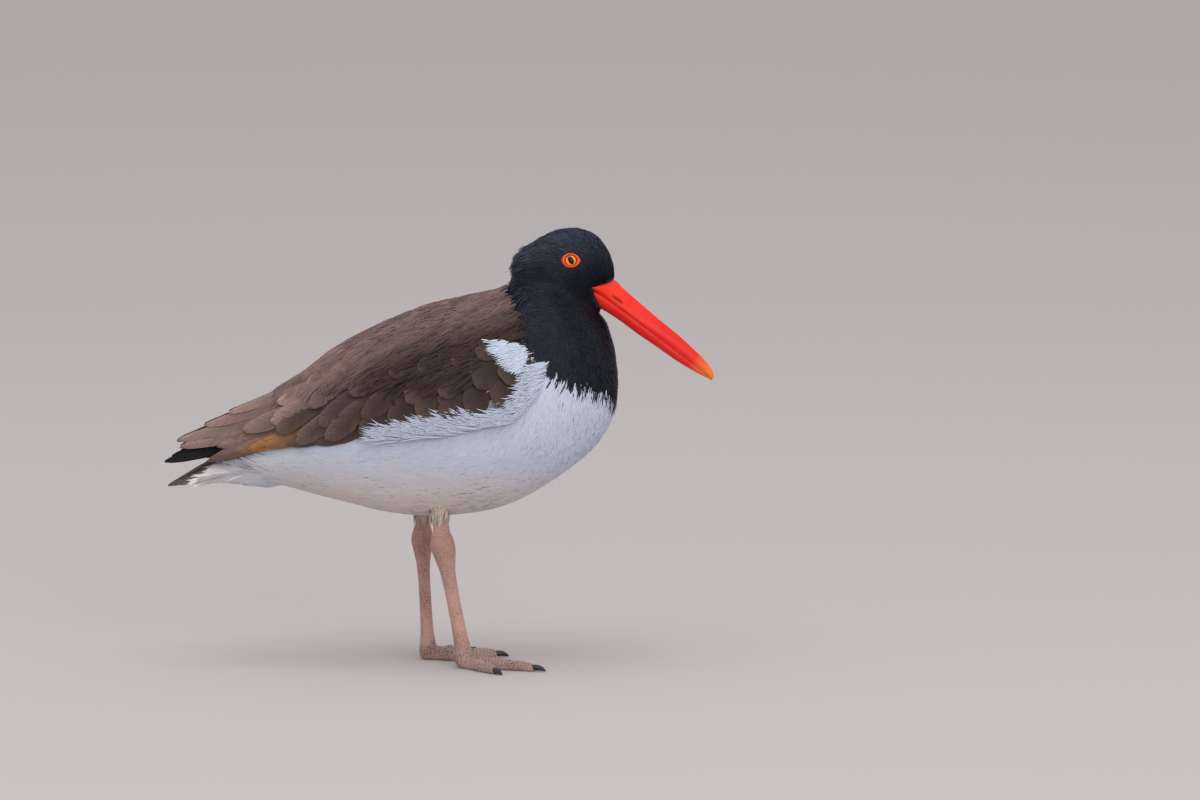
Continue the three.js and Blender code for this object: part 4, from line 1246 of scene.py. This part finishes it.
horn = Finish("horn", {
    "Roughness": 0.4, "Specular IOR Level": 0.28, "Coat Weight": 0.06, "Coat Roughness": 0.15,
})
grain = horn.noise(horn.kept("grain"), 9.0, 5.0)
blotch = horn.noise(horn.place(), 110.0, 2.0)
redness = horn.mix(blotch * 0.12, horn.kept("tone"), (0.98, 0.12, 0.03, 1))
horn.set("Base Color", horn.mix(grain * 0.2, redness, (0.70, 0.008, 0.008, 1)))
horn.set("Roughness", 0.34 + grain * 0.2)
horn.bump(grain, 0.16)
for name, stations, upwards in (("upper", UPPER_MANDIBLE, 1), ("lower", LOWER_MANDIBLE, -1)):
    points, faces = loft(bill_rows(stations, upwards), rings=110, sides=48)
    u = (points[:, [0, 2]] - BILL_BASE) @ bill_along
    v = (points[:, [0, 2]] - BILL_BASE) @ bill_up
    tones = np.stack([np.interp(u, list(BILL_COLOURS), part) for part in zip(*BILL_COLOURS.values())], -1)
    if name == "upper":
        window = np.clip(1 - ((u - NOSTRIL["middle"]) / NOSTRIL["reach"]) ** 2, 0, 1)
        slit = bell(v, NOSTRIL["height"], NOSTRIL["slit"]) * np.sqrt(window)
        groove = bell(v, *GROOVE["line"]) * fade(u, *GROOVE["begin"]) * fade(u, *GROOVE["end"])
        dent = NOSTRIL["depth"] * slit + GROOVE["depth"] * groove
        # Painted shade inside the nostril slit.
        tones = tones * (1 - NOSTRIL["slit_shade"] * np.clip(slit * 1.6, 0, 1))[:, None]
    else:
        dent = LOWER_GROOVE["depth"] * bell(v, *LOWER_GROOVE["line"]) * fade(u, *LOWER_GROOVE["end"])
    points[:, 1] -= np.sign(points[:, 1]) * fade(np.abs(points[:, 1]), 0, 2) * dent
    piece = piece_of(f"bill_{name}_horn", points, faces)
    # Painted shade along the mouth line, in the crease where the two halves of the bill meet.
    paint(piece, "tone", tones * (1 - 0.4 * bell(v, MOUTH, MOUTH_SHADE_WIDTH))[:, None])
    paint(piece, "grain", np.stack([u / 60, v / 8, points[:, 1] / 20 + 0.5], -1))
    dress(piece, horn, "bill_horn", f"bill_{name}")


# Eyes: a wet ball set in the head, with an orange-yellow iris and a black pupil that is drawn out down
# and forward, inside a ring of thick orange-red bare skin that forms both lids.
EYE_BALL = 4.7
EYE_PROUD = 0.6
EYE_UNIT = 20
BALL_REACH = 1.9
PUPIL = (2.6, 1.6)
PUPIL_WAY = (0.45, 0.89)
TURNS = 56
# Ring of the lids, half widths forward and up; its front corner, and the fold round its middle
RING_INNER = (3.5, 3.4)
RING_OUTER = (5.5, 4.5)
RING_CORNER = 0.7
CORNER_WIDTH = 0.28
RING_SWELL = 0.95
RING_FOLD = (0.52, 0.12)
RING_FOLD_DEPTH = 0.2


def speckled(name, constants, scale, detail, colours, relief=None):
    """Finish whose colour wanders between two, with a fine grain."""
    finish = Finish(name, constants)
    speckle = finish.noise(finish.place(), scale, detail)
    finish.set("Base Color", finish.mix(speckle, *colours))
    if relief:
        finish.bump(speckle, relief)
    return finish


iris = Finish("iris", {
    "Roughness": 0.3, "Specular IOR Level": 0.12, "Coat Weight": 0.2, "Coat Roughness": 0.03,
})
forward, upward, _ = iris.parts(iris.kept("eye"))
forward = (forward - 0.5) * EYE_UNIT
upward = (upward - 0.5) * EYE_UNIT
long_way = forward * PUPIL_WAY[0] - upward * PUPIL_WAY[1]
short_way = forward * PUPIL_WAY[1] + upward * PUPIL_WAY[0]
pupil = ((long_way / PUPIL[0]) ** 2.0 + (short_way / PUPIL[1]) ** 2.0) ** 0.5
radius = (forward ** 2.0 + upward ** 2.0) ** 0.5
turn = upward.sum("ARCTAN2", upward, forward)
rays = iris.noise(iris.joint(turn * 6.0, radius * 0.6, 0.0), 2.2, 4.0)
iris_colour = iris.mix(rays, (1.0, 0.42, 0.06, 1), (0.9, 0.22, 0.03, 1))
iris_colour = iris.mix(iris.ramp(radius, 2.9, 3.3), iris_colour, (0.16, 0.02, 0.006, 1))
iris.set("Base Color", iris.mix(iris.ramp(pupil, 0.93, 1.07), (0.004, 0.004, 0.005, 1), iris_colour))

lid = speckled("lid", {"Roughness": 0.4, "Specular IOR Level": 0.4}, 1700.0, 3.0, (
    (0.95, 0.13, 0.02, 1), (0.72, 0.05, 0.012, 1),
), relief=0.22)


def eye_piece(name, rim, axes, distances):
    """Round piece of the eye at distances forward, upward and outward from its place on the head."""
    points = rim + sum(axis * distance[..., None] for axis, distance in zip(axes, distances))
    points = points.reshape(-1, 3)
    _, faces = tube(*distances[0].shape)
    return piece_of(name, points, facing_out(points, faces, axes[2]))


for name, side in (("right", -1), ("left", 1)):
    s, angle = from_side(HEAD, EYE, side)
    rim = surface(HEAD, s, angle)
    out = outward(HEAD, s, angle)
    ahead = unit(np.array([1.0, 0, 0]) - out * out[0])
    above = np.cross(out, ahead)
    axes = (ahead, above * np.sign(above[2]), out)
    round_eye = np.arange(TURNS) * 2 * np.pi / TURNS
    polar, around = np.meshgrid(np.linspace(0.001, 1, 26) * BALL_REACH, round_eye, indexing="ij")
    onward = np.sin(polar) * np.cos(around) * EYE_BALL
    upwards = np.sin(polar) * np.sin(around) * EYE_BALL
    outwards = np.cos(polar) * EYE_BALL + EYE_PROUD - EYE_BALL
    ball = eye_piece(f"eye_{name}_ball", rim, axes, (onward, upwards, outwards))
    marks = np.stack([onward / EYE_UNIT + 0.5, upwards / EYE_UNIT + 0.5, 0 * polar], -1)
    paint(ball, "eye", marks.reshape(-1, 3))
    dress(ball, iris, "eye", f"eye_{name}")

    share, around = np.meshgrid(np.linspace(0, 1, 12), round_eye, indexing="ij")
    corner = RING_CORNER * bell(np.minimum(around, 2 * np.pi - around), 0, CORNER_WIDTH)
    onward = between((RING_INNER[0], RING_OUTER[0] + corner), share) * np.cos(around)
    upwards = between((RING_INNER[1], RING_OUTER[1]), share) * np.sin(around)
    swell = RING_SWELL * np.sin(np.pi * np.clip(share * 1.05, 0, 1)) ** 0.7 - 0.9 * (1 - share) ** 6
    swell = swell - RING_FOLD_DEPTH * bell(share, *RING_FOLD)
    drop = onward ** 2 / 60 + upwards ** 2 / 34 + share ** 6
    lids = eye_piece(f"eye_{name}_lids", rim, axes, (onward, upwards, swell - drop + 0.1))
    dress(lids, lid, "eye")


# Legs and feet: bare scaly skin over bone and tendon, with a swollen ankle and three forward toes, each
# with pads under its joints. The claws are short blunt black horn.
# Each toe: heading in degrees and length. foot, ankle and hip are x and height.
LEGS = {
    "right": {
        "y": -18, "foot": (14.4, 8), "ankle": (1.8, 73), "hip": (-1, 108), "swelling": 15, "netting": 0,
        "toes": {"inner": (11, 25), "middle": (-20, 45), "outer": (-55, 33)},
    },
    "left": {
        "y": 18, "foot": (-7.8, 8), "ankle": (-11.4, 73), "hip": (-9, 108), "swelling": 13, "netting": 0.2,
        "toes": {"inner": (-25, 26), "middle": (8, 42), "outer": (40, 33)},
    },
}
# Height, thickness against the swelling of the ankle, half width
TARSUS = [
    (0, 0.62, 4.4), (3, 0.84, 6.4), (8, 0.8, 6.2), (15, 0.64, 4.6), (27, 0.57, 3.6), (46, 0.56, 3.5),
    (58, 0.64, 4), (66, 0.84, 5.2), (72, 1, 6), (78, 0.9, 5.6), (83, 0.68, 4.6),
]
TIBIA = [(92, 1, 4.4), (100, 1.3, 6), (108, 1.5, 7)]
TIBIA_THICKNESS = 9.7
# Share of the toe's length, height, half width
TOE = [
    (0, 8.2, 4), (0.2, 7.6, 3.7), (0.38, 6.5, 3.2), (0.52, 7, 3.5), (0.66, 5.9, 2.9), (0.8, 6.2, 3.1),
    (0.92, 5.2, 2.6), (1, 4.2, 2),
]
TOE_BOTTOM = -1.2
TOE_SPAN = (9, 7.5)
TOE_SIDE = 3
# Claw, from the end of the toe: upper line (x, z), lower line (x, z), half width
CLAW = [
    (-1.3, 4.3, -1.3, 0.6, 1.9), (3.35, 3.9, 3, 0.6, 1.5), (5.8, 2.6, 5.45, 0.5, 1),
    (7.2, 1.1, 7.2, 0.4, 0.45),
]
NETTING = (0.6, 0.9)
NETTING_SPAN = (30, 6)
ANKLE_FOLD = (7, 1.2)
RELIEF_UNIT = 100

scales = Finish("scaly skin", {"Roughness": 0.55, "Specular IOR Level": 0.35})
skin_place = scales.place()
warp = scales.node("ShaderNodeVectorMath", {"operation": "SCALE"}, {
    0: scales.noise(skin_place, 300.0, 2.0, "Color"), "Scale": 0.0008,
})
warped = scales.node("ShaderNodeVectorMath", {"operation": "ADD"}, {0: skin_place, 1: warp})
cells = {"Vector": warped, "Scale": 820.0}
cell_edges = scales.node("ShaderNodeTexVoronoi", {"feature": "DISTANCE_TO_EDGE"}, cells)
inside = scales.ramp(cell_edges, 0.0, 0.22)
each = scales.parts(scales.node("ShaderNodeTexVoronoi", {}, cells, "Color"))[0]
patchy = scales.noise(skin_place, 140.0, 3.0)
worn = scales.ramp(scales.noise(skin_place, 60.0, 2.0), 0.35, 0.65)
run, netted, on_toe = scales.parts(scales.kept("relief"))
wave = (run * RELIEF_UNIT * 1.5).sine()
plates = scales.ramp(abs(wave), 0.0, 0.4)
pink = scales.mix(patchy, (0.66, 0.385, 0.305, 1), (0.52, 0.30, 0.245, 1))
pink = scales.mix(each * 0.3 * netted, pink, (0.38, 0.23, 0.19, 1))
up = scales.node("ShaderNodeSeparateXYZ", {}, {0: skin_place}, 2)
swollen = scales.ramp(up, 0.058, 0.068) - scales.ramp(up, 0.076, 0.086)
pink = scales.mix(swollen * 0.45, pink, (0.40, 0.215, 0.175, 1))
dusty = scales.mix((1 - scales.ramp(up, 0.004, 0.024)) * 0.5, pink, (0.47, 0.36, 0.32, 1))
net = (1 - inside) * netted * (0.35 + worn * 0.65)
creases = net + (1 - plates) * on_toe * 0.7
scales.set("Base Color", scales.mix(creases, dusty, (0.19, 0.105, 0.085, 1)))
scales.set("Roughness", 0.55 + creases * 0.2)
scales.bump(patchy * 0.3 - creases * 0.9, 0.35)

claw_horn = speckled("claw horn", {"Roughness": 0.42}, 900.0, 4.0, (
    (0.008, 0.007, 0.007, 1), (0.035, 0.028, 0.025, 1),
), relief=0.12)


def turned(points, heading, start, y):
    """Points of a toe or claw, laid out along +X, turned to its heading at the foot."""
    angle = math.radians(heading)
    x, across, z = points.T
    return np.stack([
        start + x * math.cos(angle) - across * math.sin(angle),
        y + x * math.sin(angle) + across * math.cos(angle), np.maximum(z, 0),
    ], -1)


for name, leg in LEGS.items():
    foot, ankle, hip, y = leg["foot"], leg["ankle"], leg["hip"], leg["y"]
    rows = []
    for z, share, width in TARSUS + [(z, t * TIBIA_THICKNESS / leg["swelling"], w) for z, t, w in TIBIA]:
        low, high = (foot, ankle) if z < ankle[1] else (ankle, hip)
        x = between((low[0], high[0]), (z - low[1]) / (high[1] - low[1]))
        half = leg["swelling"] * share / 2
        rows.append([x + half, z, x - half, z, width, 1])
    shank, faces = loft(np.array(rows, float), rings=90, sides=28)
    shank = shank + (0, y, 0)
    shank[:, 2] = np.maximum(shank[:, 2], 0)
    forms = [(shank, faces)]
    for toe, (heading, length) in leg["toes"].items():
        profile = [(u * length, high, u * length, TOE_BOTTOM, width, 1) for u, high, width in TOE]
        points, faces = loft(np.array(profile, float), rings=40, sides=20)
        forms.append((turned(points, heading, foot[0], y), faces))
        profile = [(length + x, z, length + below, low, width, 1) for x, z, below, low, width in CLAW]
        points, faces = loft(np.array(profile, float), rings=18, sides=14)
        nail = piece_of(f"claw_{name}_{toe}_horn", turned(points, heading, foot[0], y), faces)
        dress(nail, claw_horn, "claw", f"claw_{name}_{toe}")
    limb = fused(f"leg_{name}_skin", forms, voxel=0.62, smoothing=4)
    points, _ = points_of(limb)
    height = points[:, 2]
    nearest = np.full(len(points), np.inf)
    run = height.copy()
    for heading, length in leg["toes"].values():
        way = np.array([math.cos(math.radians(heading)), math.sin(math.radians(heading))])
        flat = points[:, :2] - (foot[0], y)
        u = np.clip(flat @ way, 4, length)
        away = np.hypot(*(flat - u[:, None] * way).T)
        closer = (away < nearest) & (height < TOE_SPAN[0])
        run = np.where(closer, u, run)
        nearest = np.where(closer, away, nearest)
    netting = np.clip(between(NETTING, fade(height, *NETTING_SPAN)) + leg["netting"], 0, 1)
    toe_top = fade(height, *TOE_SPAN) * (height > TOE_SIDE)
    fold = bell(height, ankle[1] + ANKLE_FOLD[0], ANKLE_FOLD[1])
    paint(limb, "relief", np.stack([run / RELIEF_UNIT, netting, np.maximum(toe_top, 0.5 * fold)], -1))
    nodes = [f"leg_{name}_tarsus", f"leg_{name}_tibia"] + [f"toe_{name}_{toe}" for toe in leg["toes"]]
    dress(limb, scales, "leg_skin", *nodes)


# Thighs: short beige feathers that hang over the tops of the legs, rooted on a cuff round each.
# Places of the cuffs: x, y and how far the left one hangs lower.
THIGH_COUNT = 1100
THIGH_COLOUR = np.array([0.60, 0.50, 0.43])
THIGH_HEIGHT = (94, 106)
THIGHS = np.array([(0.2, -18, 0), (-9.8, 18, -5)])
CUFF_RADIUS = 5.0
CUFF_WIDENING = 0.13
thigh_draw = np.random.default_rng(71)
z = thigh_draw.uniform(*THIGH_HEIGHT, THIGH_COUNT)
around = thigh_draw.uniform(0, 2 * np.pi, THIGH_COUNT)
x, y, drop = THIGHS[np.where(thigh_draw.random(THIGH_COUNT) < 0.5, 0, 1)].T
z = z + drop
radius = CUFF_RADIUS + (z - THIGH_HEIGHT[0] + 5) * CUFF_WIDENING
normals = np.stack([np.cos(around), np.sin(around), 0 * z], -1)
roots = np.stack([x, y, z], -1) + normals * radius[:, None]
way = unit(np.array([-0.12, 0, -1]) - normals * 0.05)
length = thigh_draw.uniform(4, 10, THIGH_COUNT)
coat = tufts(
    "coat_thighs", thigh_draw, BODY, roots, normals, way, length, tuft_width(length, 0.06, 0.3),
    thigh_draw.uniform(0.4, 1.6, THIGH_COUNT), 0.02,
    varied(thigh_draw, np.tile(THIGH_COLOUR, (THIGH_COUNT, 1)), 0.12), dark=0.2, soft=0.7, bow=0.6,
)
dress(coat, plumage, "white_feathers")


# Floor and light: a plain pale floor that runs out of the picture, under a wide soft cool light from
# above and an even pale surround, as on an overcast day. Lamps: place, size, power and colour.
FLOOR_HALF = 30000.0
LAMPS_AIM = np.array([0.0, 0.0, 0.15])
LIGHTS = [
    ("softbox_above", (-0.3, -0.9, 3.2), 3.0, 40, (0.94, 0.96, 1.0)),
    ("softbox_front", (1.2, -3.0, 1.5), 1.8, 26, (1.0, 0.98, 0.96)),
]
SURROUND = (0.96, 0.97, 1.0, 1)
SURROUND_STRENGTH = 0.84
corners = np.array([(-1, -1, 0), (1, -1, 0), (1, 1, 0), (-1, 1, 0)])
floor = piece_of("floor", corners * FLOOR_HALF, np.array([[0, 1, 2, 3]]))
paper = speckled("floor", {"Roughness": 0.9, "Specular IOR Level": 0.1}, 0.6, 2.0, (
    (0.475, 0.43, 0.422, 1), (0.50, 0.45, 0.44, 1),
))
floor.data.materials.append(paper.material)

for name, spot, size, power, colour in LIGHTS:
    lamp = bpy.data.lights.new(name, "AREA")
    lamp.shape = "DISK"
    lamp.size = size
    lamp.energy = power
    lamp.color = colour
    light = placed(name, lamp)
    light.location = spot
    aim = LAMPS_AIM - spot
    tilt = math.acos(-aim[2] / np.linalg.norm(aim))
    light.rotation_euler = (tilt, 0, math.atan2(aim[1], aim[0]) - math.pi / 2)
world = bpy.data.worlds.new("surround")
bpy.context.scene.world = world
world.use_nodes = True
world.node_tree.nodes["Background"].inputs["Color"].default_value = SURROUND
world.node_tree.nodes["Background"].inputs["Strength"].default_value = SURROUND_STRENGTH
bpy.context.scene.view_settings.view_transform = "Standard"
